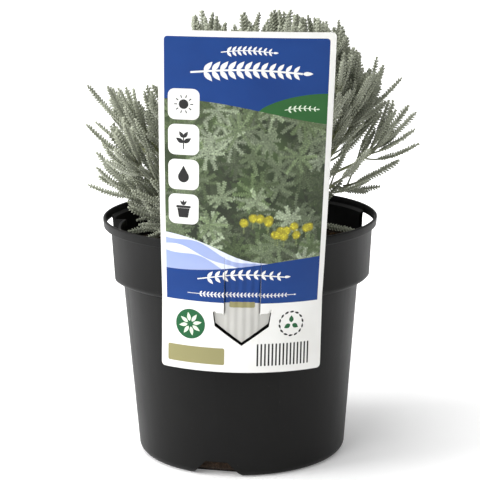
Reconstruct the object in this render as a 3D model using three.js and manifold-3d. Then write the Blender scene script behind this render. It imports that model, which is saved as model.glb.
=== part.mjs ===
// Potted cotton lavender: a black nursery pot with four label slots, potting mix,
// a plastic plant label hooked over the rim, and a bush of leafy stems.
// Millimetres, +Z up. The origin is the centre of the pot's foot on the ground,
// and -Y is the front, where the label hangs.
import * as THREE from 'three';
import { mergeVertices } from 'three/addons/utils/BufferGeometryUtils.js';
import Module from 'manifold-3d';

const wasm = await Module();
wasm.setup();

// Driving dimensions: pot
const potHeight = 123.2;
const potSides = 36;
const wall = 1.2;
const footRadius = 53.2;
const bodyRadiusAtRim = 62.8;
const footRound = 4.3;
const collarBottom = 92.4;
const collarLowerRadius = 67.0;
const collarUpperRadius = 68.3;
const collarRound = 3.2;
const rimRadius = 70.0;
const rimInnerRadius = 68.7;
const rimHeight = 4.5;
const rimBevel = 0.6;
const rimFlare = 0.3;
const touchGap = 0.3;
const cutMargin = 2;

// Driving dimensions: label slots in the collar and drain notches in the foot
const slotCount = 4;
const firstSlotAngle = 273;
const slotHalfAngle = 16.4;
const panelTop = 117.6;
const notchCount = 3;
const firstNotchAngle = 256;
const notchHeight = 8.0;
const notchInner = 44.0;
const notchTopWidth = 13.5;
const notchFootWidth = 26.0;
const drainHoleCount = 4;
const drainHoleRadius = 4.5;
const drainHoleCircle = 24.0;
const drainHoleSides = 8;

// Driving dimensions: potting mix
const soilTop = 105.0;
const holeBottom = 97.0;
const holeRadius = 1.8;
const holeSides = 6;
const soilRings = 4;
const soilLump = 0.7;
const lumpTurnsAcross = 0.37;
const lumpTurnsDeep = 0.31;
const smallLump = 0.6;
const smallTurnsAcross = 0.83;
const smallTurnsDeep = 0.71;

// Driving dimensions: label
const labelWidth = 82.4;
const labelLength = 167.0;
const labelThickness = 0.6;
const labelFootHeight = 58.0;
const labelFootFront = 65.4;
const labelLean = 4.8;
const labelTilt = 1.5;
const labelTiltHeight = 121.0;
const labelCorner = 1.6;
const labelColumns = 10;
const labelRows = 4;
const tongueColumns = 2;
const tongueRows = 6;
const bendAtFoot = 0.0147;
const bendAtTop = 0.0029;
const bendStart = 37.0;
const strapWidth = 17.4;
const arrowWidth = 28.2;
const arrowTip = 15.2;
const arrowSide = 24.8;
const arrowShoulder = 29.4;
const strapTop = 58.6;
const cutGap = 0.35;
const tongueLift = 1.4;
const tongueDepth = 1.7;
const tongueSettled = 37.4;

// Driving dimensions: leafy stems
const stemCount = 16;
const stemRadius = 1.1;
const stemSides = 5;
const twigRadius = 0.85;
const stemRings = 6;
const twigRings = 5;
const stemBeads = 20;
const crownX = 3.0;
const crownY = 2.0;
const crownSpacing = 5.5;
const crownStart = 0.6;
const firstTurn = 0.6;
const domeHeight = 118.0;
const domeReach = 110.5;
const domeTopRise = 0.985;
const domeLowRise = 0.17;
const domeSideShare = 0.36;
const domeRiseShare = 1.08;
const tuftSetback = 21.0;
const leftShare = 0.92;
const frontShare = 0.66;
const backShare = 0.86;
const leftDrop = 12.0;
const headingLevel = 0.8;
const headingLift = 0.5;
const risingShare = 0.3;
const arrivingShare = 0.35;
const twigFrom = 0.3;
const twigRange = 0.25;
const twigLeavesAt = 0.4;
const twigStray = 0.05;
const twigStrayMore = 0.18;
const twigTries = 30;
const enoughRoom = 4.0;
const leavesPerTuft = 5;
const leafLength = 30.0;
const leafRadius = 2.3;
const leafSides = 3;
const leafOpening = 0.5;
const openingStray = 0.4;
const shortestLeaf = 0.84;
const lengthStray = 0.3;
const tuftDepth = 0.3;
const tuftDepthStray = 0.1;
const turnStray = 3.0;
const shortening = 0.22;
const leafUpturn = 0.3;
const leafBendAt = 0.36;
const leafBeads = 9;
const stalkBeads = 3;
const stalkRadius = 0.75;
const leafTries = 40;
const leafGap = 0.6;
const rimRoom = 6.0;
const soilRoom = 2.5;
const bushTop = 229.0;
const leftShoulderStart = 20.0;
const leftShoulderEnd = 45.0;
const leftShoulderDrop = 36.0;
const rightShoulderStart = 45.0;
const rightShoulderEnd = 62.0;
const rightShoulderDrop = 22.0;
const backFall = 0.1;
const tuftRoom = 20.0;
const layoutSeed = 2771;

const degree = Math.PI / 180;
const goldenAngle = Math.PI * (3 - Math.sqrt(5));

function seededRandom(seed) {
  let state = seed;
  return () => {
    state = (state * 16807) % 2147483647;
    return state / 2147483647;
  };
}

// Solids and booleans

function toSolid(source) {
  const geometry = source.clone();
  geometry.deleteAttribute('normal');
  geometry.deleteAttribute('uv');
  const merged = mergeVertices(geometry, 1e-4);
  const index = merged.index.array;
  const corners = [];
  for (let i = 0; i < index.length; i += 3) {
    const [a, b, c] = [index[i], index[i + 1], index[i + 2]];
    if (a !== b && b !== c && c !== a) {
      corners.push(a, b, c);
    }
  }
  return new wasm.Manifold(new wasm.Mesh({
    numProp: 3,
    vertProperties: Float32Array.from(merged.attributes.position.array),
    triVerts: Uint32Array.from(corners),
  }));
}

function toGeometry(solid) {
  const mesh = solid.getMesh();
  const geometry = new THREE.BufferGeometry();
  geometry.setAttribute('position', new THREE.BufferAttribute(mesh.vertProperties, 3));
  geometry.setIndex(new THREE.BufferAttribute(mesh.triVerts, 1));
  geometry.computeVertexNormals();
  return geometry;
}

function turned(profile, sides = potSides) {
  const points = profile.map(([radius, height]) => new THREE.Vector2(radius, height));
  const geometry = new THREE.LatheGeometry(points, sides);
  geometry.rotateX(Math.PI / 2);
  return toSolid(geometry);
}

function upright(shape, bottom, top) {
  const geometry = new THREE.ExtrudeGeometry(shape, { depth: top - bottom, bevelEnabled: false });
  geometry.translate(0, 0, bottom);
  return toSolid(geometry);
}

function polygon(points) {
  return new THREE.Shape(points.map(([x, y]) => new THREE.Vector2(x, y)));
}

function wedge(middle, halfAngle) {
  const reach = 1.5 * rimRadius;
  const from = (middle - halfAngle) * degree;
  const to = (middle + halfAngle) * degree;
  const shape = polygon([
    [0, 0],
    [reach * Math.cos(from), reach * Math.sin(from)],
    [reach * Math.cos(to), reach * Math.sin(to)],
  ]);
  return upright(shape, 0, potHeight + 2 * cutMargin);
}

// Pot

function bodyRadius(height) {
  return footRadius + (bodyRadiusAtRim - footRadius) * height / potHeight;
}

function roundPoints(centreRadius, centreHeight, radius, fromAngle, toAngle, steps) {
  const points = [];
  for (let i = 0; i <= steps; i += 1) {
    const angle = (fromAngle + (toAngle - fromAngle) * i / steps) * degree;
    points.push([centreRadius + radius * Math.cos(angle), centreHeight + radius * Math.sin(angle)]);
  }
  return points;
}

function potOutline() {
  const rimBottom = potHeight - rimHeight;
  return [
    [0, 0],
    ...roundPoints(bodyRadius(footRound) - footRound, footRound, footRound, -90, 0, 2),
    [bodyRadius(collarBottom), collarBottom],
    ...roundPoints(collarLowerRadius - collarRound, collarBottom + collarRound, collarRound, -90, 0, 2),
    [collarUpperRadius, rimBottom],
    [rimRadius - rimFlare, rimBottom],
    [rimRadius, potHeight - rimBevel],
    [rimRadius - rimBevel, potHeight],
    [0, potHeight],
  ];
}

function potInside(clearance) {
  const inset = wall + clearance;
  const rimBottom = potHeight - rimHeight;
  const collarFloor = collarBottom + inset;
  return [
    [0, inset],
    [bodyRadius(footRound) - footRound, inset],
    [bodyRadius(footRound) - inset, footRound],
    [bodyRadius(collarFloor) - inset, collarFloor],
    [collarLowerRadius - collarRound, collarFloor],
    [collarLowerRadius - inset, collarBottom + collarRound],
    [collarUpperRadius - inset, rimBottom],
    [rimInnerRadius - clearance, rimBottom + wall],
  ];
}

function slotAngles() {
  return Array.from({ length: slotCount }, (_, i) => firstSlotAngle + 360 / slotCount * i);
}

// Ring from the panels' inner face to the collar, thickened by the clearance on the soil's side
function slotBlock(clearance) {
  const low = collarBottom - wall;
  const high = panelTop + clearance;
  const inset = wall + clearance;
  const skin = wall / 3;
  return turned([
    [bodyRadius(low) - inset, low],
    [bodyRadius(low) - skin, low],
    [bodyRadius(collarBottom) - skin, collarBottom],
    [collarLowerRadius - collarRound, collarBottom],
    [collarLowerRadius - skin, collarBottom + collarRound],
    [collarUpperRadius - skin, high],
    [bodyRadius(high) - inset, high],
    [bodyRadius(low) - inset, low],
  ]);
}

// Open space of the slots: in front of the panel, below the rim band and behind it
function slotSpace() {
  const low = collarBottom - cutMargin;
  const top = potHeight + cutMargin;
  const bandBottom = potHeight - rimHeight;
  const outside = rimRadius + cutMargin;
  const hair = 0.02;
  return turned([
    [bodyRadius(low) + hair, low],
    [outside, low],
    [outside, bandBottom],
    [rimInnerRadius, bandBottom],
    [rimInnerRadius, top],
    [bodyRadius(panelTop) + hair, top],
    [bodyRadius(panelTop) + hair, panelTop],
    [bodyRadius(low) + hair, low],
  ]);
}

// Trapezoid opening through the corner of wall and floor
function drainNotch(angle) {
  const reach = footRadius - notchInner + cutMargin;
  const below = 0.6;
  const slope = (notchFootWidth - notchTopWidth) / 2 / notchHeight;
  const halfFoot = notchFootWidth / 2 + slope * below;
  const shape = polygon([
    [-halfFoot, -below],
    [halfFoot, -below],
    [notchTopWidth / 2, notchHeight],
    [-notchTopWidth / 2, notchHeight],
  ]);
  const geometry = new THREE.ExtrudeGeometry(shape, { depth: reach, bevelEnabled: false });
  geometry.rotateX(Math.PI / 2);
  geometry.translate(0, notchInner + reach, 0);
  geometry.rotateZ(angle * degree - Math.PI / 2);
  return toSolid(geometry);
}

function drainHole(angle) {
  const geometry = new THREE.CylinderGeometry(drainHoleRadius, drainHoleRadius, 10 * wall, drainHoleSides);
  geometry.rotateX(Math.PI / 2);
  geometry.translate(drainHoleCircle, 0, 0);
  geometry.rotateZ(angle);
  return toSolid(geometry);
}

function buildPot() {
  const inside = potInside(0);
  const mouth = [
    [rimInnerRadius, potHeight + cutMargin],
    [0, potHeight + cutMargin],
  ];
  const endWall = wall / collarLowerRadius / degree;
  let pot = turned(potOutline()).subtract(turned([...inside, ...mouth]));
  const block = slotBlock(0);
  const space = slotSpace();
  for (const angle of slotAngles()) {
    pot = pot.add(block.intersect(wedge(angle, slotHalfAngle + endWall)));
    pot = pot.subtract(space.intersect(wedge(angle, slotHalfAngle)));
  }
  for (let i = 0; i < notchCount; i += 1) {
    pot = pot.subtract(drainNotch(firstNotchAngle + 360 / notchCount * i));
  }
  for (let i = 0; i < drainHoleCount; i += 1) {
    pot = pot.subtract(drainHole(2 * Math.PI * i / drainHoleCount));
  }
  return pot;
}

// Potting mix

function soilSurface(x, y) {
  const lumps = Math.sin(lumpTurnsAcross * x + 1) * Math.cos(lumpTurnsDeep * y);
  const smallLumps = smallLump * Math.sin(smallTurnsAcross * x - smallTurnsDeep * y);
  return soilTop + soilLump * (lumps + smallLumps);
}

function buildSoil(stems) {
  const clearance = touchGap;
  const profile = potInside(clearance).filter(([, height]) => height < soilTop);
  const edge = collarLowerRadius - wall - clearance;
  for (let ring = soilRings; ring >= 0; ring -= 1) {
    profile.push([edge * ring / soilRings, soilTop]);
  }
  const points = profile.map(([radius, height]) => new THREE.Vector2(radius, height));
  const geometry = new THREE.LatheGeometry(points, potSides / 2);
  geometry.rotateX(Math.PI / 2);
  const position = geometry.attributes.position;
  for (let i = 0; i < position.count; i += 1) {
    if (position.getZ(i) > soilTop - touchGap) {
      position.setZ(i, soilSurface(position.getX(i), position.getY(i)));
    }
  }
  let soil = toSolid(geometry);
  const block = slotBlock(clearance);
  const endWall = (wall + 1.3 * clearance) / collarLowerRadius / degree;
  for (const angle of slotAngles()) {
    soil = soil.subtract(block.intersect(wedge(angle, slotHalfAngle + endWall)));
  }
  for (const stem of stems) {
    const depth = 2 * (soilTop - holeBottom);
    const hole = new THREE.CylinderGeometry(holeRadius, holeRadius, depth, holeSides);
    hole.rotateX(Math.PI / 2);
    hole.translate(stem.foot.x, stem.foot.y, holeBottom + depth / 2);
    soil = soil.subtract(toSolid(hole));
  }
  return soil;
}

// Label: a sheet bent round the pot and leaning out, with an arrow tongue cut in it

function labelBend(along) {
  const share = Math.max(0, along - bendStart) / (labelLength - bendStart);
  return bendAtFoot + (bendAtTop - bendAtFoot) * share;
}

function labelPoint(across, along, outward) {
  const bend = labelBend(along);
  const radius = 1 / bend;
  const point = new THREE.Vector3(
    (radius + outward) * Math.sin(across * bend),
    -labelFootFront - along * Math.sin(labelLean * degree)
      + radius - (radius + outward) * Math.cos(across * bend),
    labelFootHeight + along * Math.cos(labelLean * degree) - labelTiltHeight,
  );
  point.applyAxisAngle(new THREE.Vector3(0, 1, 0), labelTilt * degree);
  point.z += labelTiltHeight;
  return point;
}

function bentSheet(width, from, to, columns, rows, outwardAt) {
  const geometry = new THREE.BoxGeometry(width, to - from, labelThickness, columns, rows, 1);
  const position = geometry.attributes.position;
  for (let i = 0; i < position.count; i += 1) {
    const along = position.getY(i) + (from + to) / 2;
    const point = labelPoint(position.getX(i), along, position.getZ(i) + outwardAt(along));
    position.setXYZ(i, point.x, point.y, point.z);
  }
  return toSolid(geometry);
}

// Straight prism through the sheet with the outline of a shape drawn across and along the label
function labelPrism(shape) {
  const behind = labelWidth / 4;
  const depth = labelWidth / 3;
  const geometry = new THREE.ExtrudeGeometry(shape, { depth, bevelEnabled: false });
  geometry.translate(0, 0, -behind);
  const middle = labelPoint(0, 0, 0);
  const sideways = labelPoint(0.1, 0, 0).sub(middle).normalize();
  const upwards = labelPoint(0, 1, 0).sub(middle).normalize();
  const outwards = new THREE.Vector3().crossVectors(sideways, upwards).normalize();
  const frame = new THREE.Matrix4().makeBasis(sideways, upwards, outwards);
  frame.setPosition(middle);
  geometry.applyMatrix4(frame);
  return toSolid(geometry);
}

// Arrow outline, widened and let down from the tongue's own place where it is the window
function arrowShape(grow, drop, top) {
  const strap = strapWidth / 2 + grow;
  const head = arrowWidth / 2 + grow;
  const barb = 1;
  return polygon([
    [-strap, top],
    [-strap, arrowShoulder],
    [-head, arrowShoulder + barb],
    [-head + barb, arrowSide - drop],
    [0, arrowTip - drop],
    [head - barb, arrowSide - drop],
    [head, arrowShoulder + barb],
    [strap, arrowShoulder],
    [strap, top],
  ]);
}

// The tongue leaves the sheet just below the rim band and sinks through its window into the slot
function tongueOutward(along) {
  const share = Math.min(1, Math.max(0, strapTop - along) / (strapTop - tongueSettled));
  return -tongueDepth * share * share * (3 - 2 * share);
}

// Triangle off one corner of the sheet; side and end are -1 or 1
function cornerCut(side, end) {
  const along = end > 0 ? labelLength : 0;
  const bend = labelBend(along);
  const x = side * Math.sin(bend * labelWidth / 2) / bend;
  const cut = labelCorner;
  return labelPrism(polygon([
    [x - 2 * side * cut, along + end * cut],
    [x + side * cut, along - 2 * end * cut],
    [x + 2 * side * cut, along + 2 * end * cut],
  ]));
}

function buildLabel() {
  let sheet = bentSheet(labelWidth, 0, labelLength, labelColumns, labelRows, () => 0);
  for (const side of [-1, 1]) {
    sheet = sheet.subtract(cornerCut(side, -1)).subtract(cornerCut(side, 1));
  }
  sheet = sheet.subtract(labelPrism(arrowShape(cutGap, tongueLift, strapTop)));
  const [low, high] = [arrowTip - cutMargin, strapTop + cutMargin];
  const strip = bentSheet(arrowWidth + cutMargin, low, high, tongueColumns, tongueRows, tongueOutward);
  const tongue = strip.intersect(labelPrism(arrowShape(0, 0, strapTop + cutMargin / 2)));
  return sheet.add(tongue);
}

// Layout of the leafy stems

function domeDirection(index) {
  const count = 2 * stemCount;
  const rise = domeTopRise - (domeTopRise - domeLowRise) * (index + 0.5) / count;
  const level = Math.sqrt(1 - rise * rise);
  const angle = index * goldenAngle + firstTurn;
  return new THREE.Vector3(level * Math.cos(angle), level * Math.sin(angle), rise);
}

// The bush is highest in the middle, with a low shoulder on its left and a higher one on its right
function topAt(x, y) {
  const left = leftShoulderDrop * THREE.MathUtils.smoothstep(-x, leftShoulderStart, leftShoulderEnd);
  const right = rightShoulderDrop * THREE.MathUtils.smoothstep(x, rightShoulderStart, rightShoulderEnd);
  return bushTop - left - right - backFall * Math.max(0, y);
}

// The bush is lower on its left side and flat at the front, behind the label
function domePoint(direction, setback) {
  const reach = domeReach * Math.min(1, domeSideShare + domeRiseShare * direction.z) - setback;
  const x = crownX + reach * direction.x * (direction.x < 0 ? leftShare : 1);
  const y = crownY + reach * direction.y * (direction.y < 0 ? frontShare : backShare);
  const z = domeHeight + reach * direction.z - leftDrop * Math.max(0, -direction.x);
  return new THREE.Vector3(x, y, Math.min(z, topAt(x, y) - tuftRoom));
}

function stemFoot(index) {
  const radius = crownSpacing * Math.sqrt(index + crownStart);
  const angle = index * goldenAngle + firstTurn;
  return new THREE.Vector3(crownX + radius * Math.cos(angle), crownY + radius * Math.sin(angle), soilTop);
}

function tuftHeading(direction) {
  return new THREE.Vector3(direction.x, direction.y * headingLevel, direction.z + headingLift).normalize();
}

function stemCurve(foot, tip, heading) {
  const span = foot.distanceTo(tip);
  const rising = foot.clone().add(new THREE.Vector3(0, 0, risingShare * span));
  const arriving = tip.clone().addScaledVector(heading, -arrivingShare * span);
  return new THREE.CubicBezierCurve3(foot, rising, arriving, tip);
}

// Point on the straight stretches between the rings that a stem's rod has
function onRod(curve, place, rings) {
  const step = Math.min(rings - 2, Math.floor(place * (rings - 1)));
  const from = curve.getPoint(step / (rings - 1));
  const to = curve.getPoint((step + 1) / (rings - 1));
  return from.lerp(to, place * (rings - 1) - step);
}

// A row of balls that stands for a rod when distances are measured
function beads(pointAt, from, to, count, radius) {
  const list = [];
  for (let i = 0; i < count; i += 1) {
    list.push({ point: pointAt(from + (to - from) * i / (count - 1)), radius });
  }
  return list;
}

// Smallest free distance between a row of beads and the rest of the bush
function clearance(list, others) {
  let smallest = 100;
  for (const bead of list) {
    for (const other of others) {
      const free = bead.point.distanceTo(other.point) - bead.radius - other.radius;
      smallest = Math.min(smallest, free);
    }
  }
  return smallest;
}

function insideBounds(list) {
  return list.every(({ point, radius }) => {
    const out = Math.hypot(point.x, point.y);
    const overRim = out < rimInnerRadius - rimRoom - radius || point.z > potHeight + rimRoom + radius;
    const overSoil = point.z > soilTop + soilRoom + radius;
    const behindLabel = point.y > -labelFootFront + rimRoom + radius;
    return overRim && overSoil && behindLabel && point.z < topAt(point.x, point.y) - radius;
  });
}

function pairTufts() {
  const free = Array.from({ length: stemCount }, (_, i) => i);
  const pairs = [];
  for (let low = stemCount; low < 2 * stemCount; low += 1) {
    const wanted = domeDirection(low);
    free.sort((a, b) => wanted.dot(domeDirection(b)) - wanted.dot(domeDirection(a)));
    pairs.push([free.shift(), low]);
  }
  return pairs;
}

// Draws variations of a branch and keeps the one with the most room round it
function roomiest(draw, others, random) {
  let best = null;
  let bestRoom = -1000;
  for (let i = 0; i < twigTries; i += 1) {
    const candidate = draw(random, i);
    const room = clearance(candidate.beads, others);
    if (room > bestRoom) {
      best = candidate;
      bestRoom = room;
    }
    if (room > enoughRoom) {
      break;
    }
  }
  return best;
}

function mainStem(index) {
  const direction = domeDirection(index);
  const heading = tuftHeading(direction);
  const tip = domePoint(direction, tuftSetback);
  const foot = stemFoot(index);
  const curve = stemCurve(foot, tip, heading);
  const pointAt = (place) => onRod(curve, place, stemRings);
  return { foot, curve, beads: beads(pointAt, 0, 1, stemBeads, stemRadius) };
}

function sideTwig(curve, low, random, attempt) {
  const spread = attempt === 0 ? 0 : twigStray + twigStrayMore * attempt / twigTries;
  const direction = domeDirection(low);
  direction.x += spread * (random() - 0.5);
  direction.y += spread * (random() - 0.5);
  direction.z = Math.max(domeLowRise - twigStray, direction.z + spread * (random() - 0.5));
  direction.normalize();
  const start = onRod(curve, twigFrom + twigRange * random(), stemRings);
  const tip = domePoint(direction, tuftSetback);
  const heading = tuftHeading(direction);
  const span = start.distanceTo(tip);
  const leaving = curve.getTangent(twigLeavesAt).lerp(direction, 0.5).normalize();
  const twig = new THREE.CubicBezierCurve3(
    start,
    start.clone().addScaledVector(leaving, span / 3),
    tip.clone().addScaledVector(heading, -span / 3),
    tip,
  );
  const pointAt = (place) => onRod(twig, place, twigRings);
  return { curve: twig, beads: beads(pointAt, 0.1, 1, stemBeads, twigRadius) };
}

function leafCurve(start, axis, around, spread, length) {
  const helper = Math.abs(axis.z) > 0.9 ? new THREE.Vector3(1, 0, 0) : new THREE.Vector3(0, 0, 1);
  const side = new THREE.Vector3().crossVectors(axis, helper).normalize();
  const other = new THREE.Vector3().crossVectors(axis, side);
  const out = side.multiplyScalar(Math.cos(around)).addScaledVector(other, Math.sin(around));
  const first = axis.clone().multiplyScalar(Math.cos(spread)).addScaledVector(out, Math.sin(spread));
  const up = new THREE.Vector3(0, 0, leafUpturn);
  const last = axis.clone().addScaledVector(out, leafUpturn).add(up).normalize();
  const middle = start.clone().addScaledVector(first, leafBendAt * length);
  const end = middle.clone().addScaledVector(last, (1 - leafBendAt) * length);
  return new THREE.QuadraticBezierCurve3(start, middle, end);
}

function drawLeaf(branch, place, order, attempt, random) {
  const from = 1 - (1 - place) * (tuftDepth + tuftDepthStray * random());
  const start = onRod(branch.curve, from, branch.rings);
  const axis = branch.curve.getTangent(from);
  const loosen = Math.min(1, 3 * attempt / leafTries);
  const around = order * goldenAngle + branch.turn + loosen * turnStray * (random() - 0.5);
  const spread = leafOpening * (2 - place) * (1 + openingStray * (random() - 0.5));
  const length = leafLength * (shortestLeaf + lengthStray * random()) * (1 - shortening * loosen);
  const curve = leafCurve(start, axis, around, spread, length);
  const pointAt = (share) => curve.getPoint(share);
  const stalk = beads(pointAt, 0.05, 0.17, stalkBeads, stalkRadius);
  return { curve, beads: [...stalk, ...beads(pointAt, 0.24, 1, leafBeads, leafRadius)] };
}

function layOutBush() {
  const random = seededRandom(layoutSeed);
  const stems = pairTufts().map(([high, low]) => ({ low, leaves: [], ...mainStem(high) }));
  const beadsOfOthers = (stem) => stems.filter((one) => one !== stem).flatMap((one) => one.beads);
  for (const stem of stems) {
    const drawTwig = (draw, attempt) => sideTwig(stem.curve, stem.low, draw, attempt);
    const twig = roomiest(drawTwig, beadsOfOthers(stem), random);
    stem.twig = twig.curve;
    stem.beads = [...stem.beads, ...twig.beads];
  }
  for (const stem of stems) {
    stem.branches = [
      { curve: stem.curve, rings: stemRings, turn: 6 * random() },
      { curve: stem.twig, rings: twigRings, turn: 6 * random() },
    ];
  }
  for (let order = 0; order < leavesPerTuft; order += 1) {
    const place = 1 - order / leavesPerTuft;
    for (const stem of stems) {
      const others = beadsOfOthers(stem);
      for (const branch of stem.branches) {
        for (let attempt = 0; attempt < leafTries; attempt += 1) {
          const leaf = drawLeaf(branch, place, order, attempt, random);
          const own = stem.leaves.flatMap((one) => one.beads.slice(stalkBeads));
          const blade = leaf.beads.slice(stalkBeads);
          const clear = clearance(leaf.beads, others) > leafGap && clearance(blade, own) > 0;
          if (clear && insideBounds(leaf.beads)) {
            stem.leaves.push(leaf);
            stem.beads = [...stem.beads, ...leaf.beads];
            break;
          }
        }
      }
    }
  }
  return stems;
}

// Stems and leaves as solids

function ring(curve, place, radius) {
  return { centre: curve.getPoint(place), tangent: curve.getTangent(place), radius };
}

// A closed rod through a row of rings, ending in a blunt point of the given length
function rod(rings, sides, point) {
  const steps = rings.length - 1;
  const geometry = new THREE.CylinderGeometry(1, 1, 1, sides, steps);
  const helper = new THREE.Vector3(0.31, -0.42, 0.85);
  const position = geometry.attributes.position;
  for (let i = 0; i < position.count; i += 1) {
    const { centre, tangent, radius } = rings[Math.round((position.getY(i) + 0.5) * steps)];
    const side = new THREE.Vector3().crossVectors(helper, tangent).normalize();
    const across = new THREE.Vector3().crossVectors(side, tangent);
    const [x, z] = [position.getX(i), position.getZ(i)];
    const spot = centre.clone().addScaledVector(side, x * radius).addScaledVector(across, z * radius);
    if (x * x + z * z < 0.01 && position.getY(i) > 0) {
      spot.addScaledVector(tangent, point);
    }
    position.setXYZ(i, spot.x, spot.y, spot.z);
  }
  return toSolid(geometry);
}

// Bare stalk, then rings of blunt teeth with waists between them, and a blunt tip
function toothedLeaf(curve) {
  const waist = 0.5 * leafRadius;
  const stations = [
    [0, 0.9 * stalkRadius],
    [0.3, stalkRadius],
    [0.42, leafRadius],
    [0.55, waist],
    [0.68, leafRadius],
    [0.81, waist],
    [0.94, 0.9 * leafRadius],
  ];
  return rod(stations.map(([place, radius]) => ring(curve, place, radius)), leafSides, 0.05 * leafLength);
}

function buildLeafyStem(stem) {
  const root = ring(stem.curve, 0, stemRadius);
  root.centre.z = holeBottom + touchGap;
  let solid = rod([root, ...taper(stem.curve, stemRadius, stemRings)], stemSides, stemRadius);
  solid = solid.add(rod(taper(stem.twig, twigRadius, twigRings), stemSides, twigRadius));
  for (const leaf of stem.leaves) {
    solid = solid.add(toothedLeaf(leaf.curve));
  }
  return solid;
}

function taper(curve, radius, count) {
  const last = count - 1;
  return Array.from({ length: count }, (_, i) => ring(curve, i / last, radius * (1 - 0.3 * i / last)));
}

// Scene graph

function piece(name, solid, color, roughness) {
  const material = new THREE.MeshStandardMaterial({ color, roughness, metalness: 0 });
  const mesh = new THREE.Mesh(toGeometry(solid), material);
  mesh.name = name;
  return mesh;
}

const bush = layOutBush();
const plant = new THREE.Group();
plant.name = 'plant';
bush.forEach((stem, i) => {
  const shade = new THREE.Color(0x8f9b83).lerp(new THREE.Color(0xa9b09a), i / stemCount);
  plant.add(piece(`leafy_stem_${String(i + 1).padStart(2, '0')}`, buildLeafyStem(stem), shade, 0.85));
});

const pottedCottonLavender = new THREE.Group();
pottedCottonLavender.name = 'potted_cotton_lavender';
pottedCottonLavender.add(piece('pot', buildPot(), 0x202122, 0.45));
pottedCottonLavender.add(piece('soil', buildSoil(bush), 0x1d1713, 0.95));
pottedCottonLavender.add(piece('label', buildLabel(), 0xf1f1f0, 0.35));
pottedCottonLavender.add(plant);

export default pottedCottonLavender;
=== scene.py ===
import math
import bpy
import bmesh
import numpy as np
from mathutils import Matrix, Vector
from mathutils.geometry import delaunay_2d_cdt


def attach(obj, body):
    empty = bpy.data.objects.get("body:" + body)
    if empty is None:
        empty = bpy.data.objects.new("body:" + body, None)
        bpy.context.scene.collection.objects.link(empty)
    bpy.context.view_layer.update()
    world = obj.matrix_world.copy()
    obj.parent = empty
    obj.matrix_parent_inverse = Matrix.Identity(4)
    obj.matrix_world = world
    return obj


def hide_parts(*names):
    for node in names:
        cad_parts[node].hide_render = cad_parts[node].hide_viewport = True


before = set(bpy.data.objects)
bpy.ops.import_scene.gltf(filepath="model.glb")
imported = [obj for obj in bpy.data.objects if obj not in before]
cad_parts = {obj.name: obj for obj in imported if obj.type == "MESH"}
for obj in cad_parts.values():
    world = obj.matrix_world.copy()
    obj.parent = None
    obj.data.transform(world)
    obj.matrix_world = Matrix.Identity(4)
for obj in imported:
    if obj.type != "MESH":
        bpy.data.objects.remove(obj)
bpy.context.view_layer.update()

# Sizes of the object are in millimetres and turn into metres when a mesh is made. Places of the
# floor, the lights and the camera are in metres. -Y is the front, where the label hangs.

# Pot
POT_HEIGHT = 123.2
WALL = 1.2
FOOT_RADIUS = 53.2
BODY_RADIUS_AT_RIM = 62.8
FOOT_ROUND = 4.3
COLLAR_BOTTOM = 92.4
COLLAR_LOWER_RADIUS = 67.0
COLLAR_UPPER_RADIUS = 68.3
COLLAR_ROUND = 3.2
COLLAR_FILLET = 0.9
EDGE_ROUND = 0.5
RIM_RADIUS = 70.0
RIM_INNER_RADIUS = 68.7
RIM_HEIGHT = 4.5
RIM_FLARE = 0.3
RIM_FILLET = 0.35
LIP_ROUND = 0.62
INNER_LIP_ROUND = 0.3
SLOT_COUNT = 4
FIRST_SLOT_ANGLE = 273
SLOT_HALF_ANGLE = 16.4
PANEL_TOP = 117.6
NOTCH_COUNT = 3
FIRST_NOTCH_ANGLE = 256
NOTCH_HEIGHT = 8.0
NOTCH_INNER = 44.0
NOTCH_TOP_WIDTH = 13.5
NOTCH_FOOT_WIDTH = 26.0
NOTCH_BELOW = 0.6
NOTCH_CORNER = 2.2
NOTCH_CORNER_INSET = 2.1
DRAIN_HOLE_COUNT = 4
DRAIN_HOLE_RADIUS = 4.5
DRAIN_HOLE_CIRCLE = 24.0
DRAIN_HOLE_SIDES = 32
CUT_MARGIN = 2
CUT_REACH = 3
HAIR = 0.02
SHARP_ANGLE = 34
POT_SIDES = 180

# Potting mix
SOIL_TOP = 105.0
HOLE_BOTTOM = 97.0
TOUCH_GAP = 0.3
SOIL_SIDES = 144
SOIL_RINGS = 46
SOIL_EDGE_GAP = 0.4
SOIL_WAVES = 22
SOIL_LUMP = 0.8
# Rings of the mix under its surface, each with its height and its distance in from the edge
SOIL_UNDER = (
    (COLLAR_BOTTOM + 4, 0.5), (COLLAR_BOTTOM + 1.6, 5.5), (60, 7.6), (FOOT_ROUND, 12.0), (1.6, 18.0),
)
PANEL_CLEAR_ANGLE = 3.2
CHIP_COUNT = 620
CHIP_SIDES = 6
SOIL_SEED = 3301

# Label
LABEL_WIDTH = 82.4
LABEL_LENGTH = 167.0
LABEL_THICKNESS = 0.5
LABEL_FOOT_HEIGHT = 58.0
LABEL_FOOT_FRONT = 65.4
LABEL_LEAN = 4.8
LABEL_TILT = 1.5
LABEL_TILT_HEIGHT = 121.0
LABEL_CORNER = 2.0
LABEL_ASIDE = 1.4
BEND_AT_FOOT = 0.0147
BEND_AT_TOP = 0.0029
BEND_START = 37.0
STRAP_WIDTH = 17.4
ARROW_WIDTH = 28.2
ARROW_TIP = 15.2
ARROW_SIDE = 24.8
ARROW_SHOULDER = 29.4
STRAP_TOP = 58.6
CUT_GAP = 0.12
TONGUE_LIFT = 1.4
TONGUE_DEPTH = 1.7
TONGUE_SETTLED = 37.4
RIB_PITCH = 4.0
RIB_HEIGHT = 0.42
PRINT_LEFT = -38.4
PRINT_RIGHT = 38.4
BAND_BOTTOM = 35.4
SWOOSH_START = 6
LONGEST_EDGE = 1.6
CANVAS_STEP = 0.25
WHORL_COUNT = 150
WHORL_BLADES = 8
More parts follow.
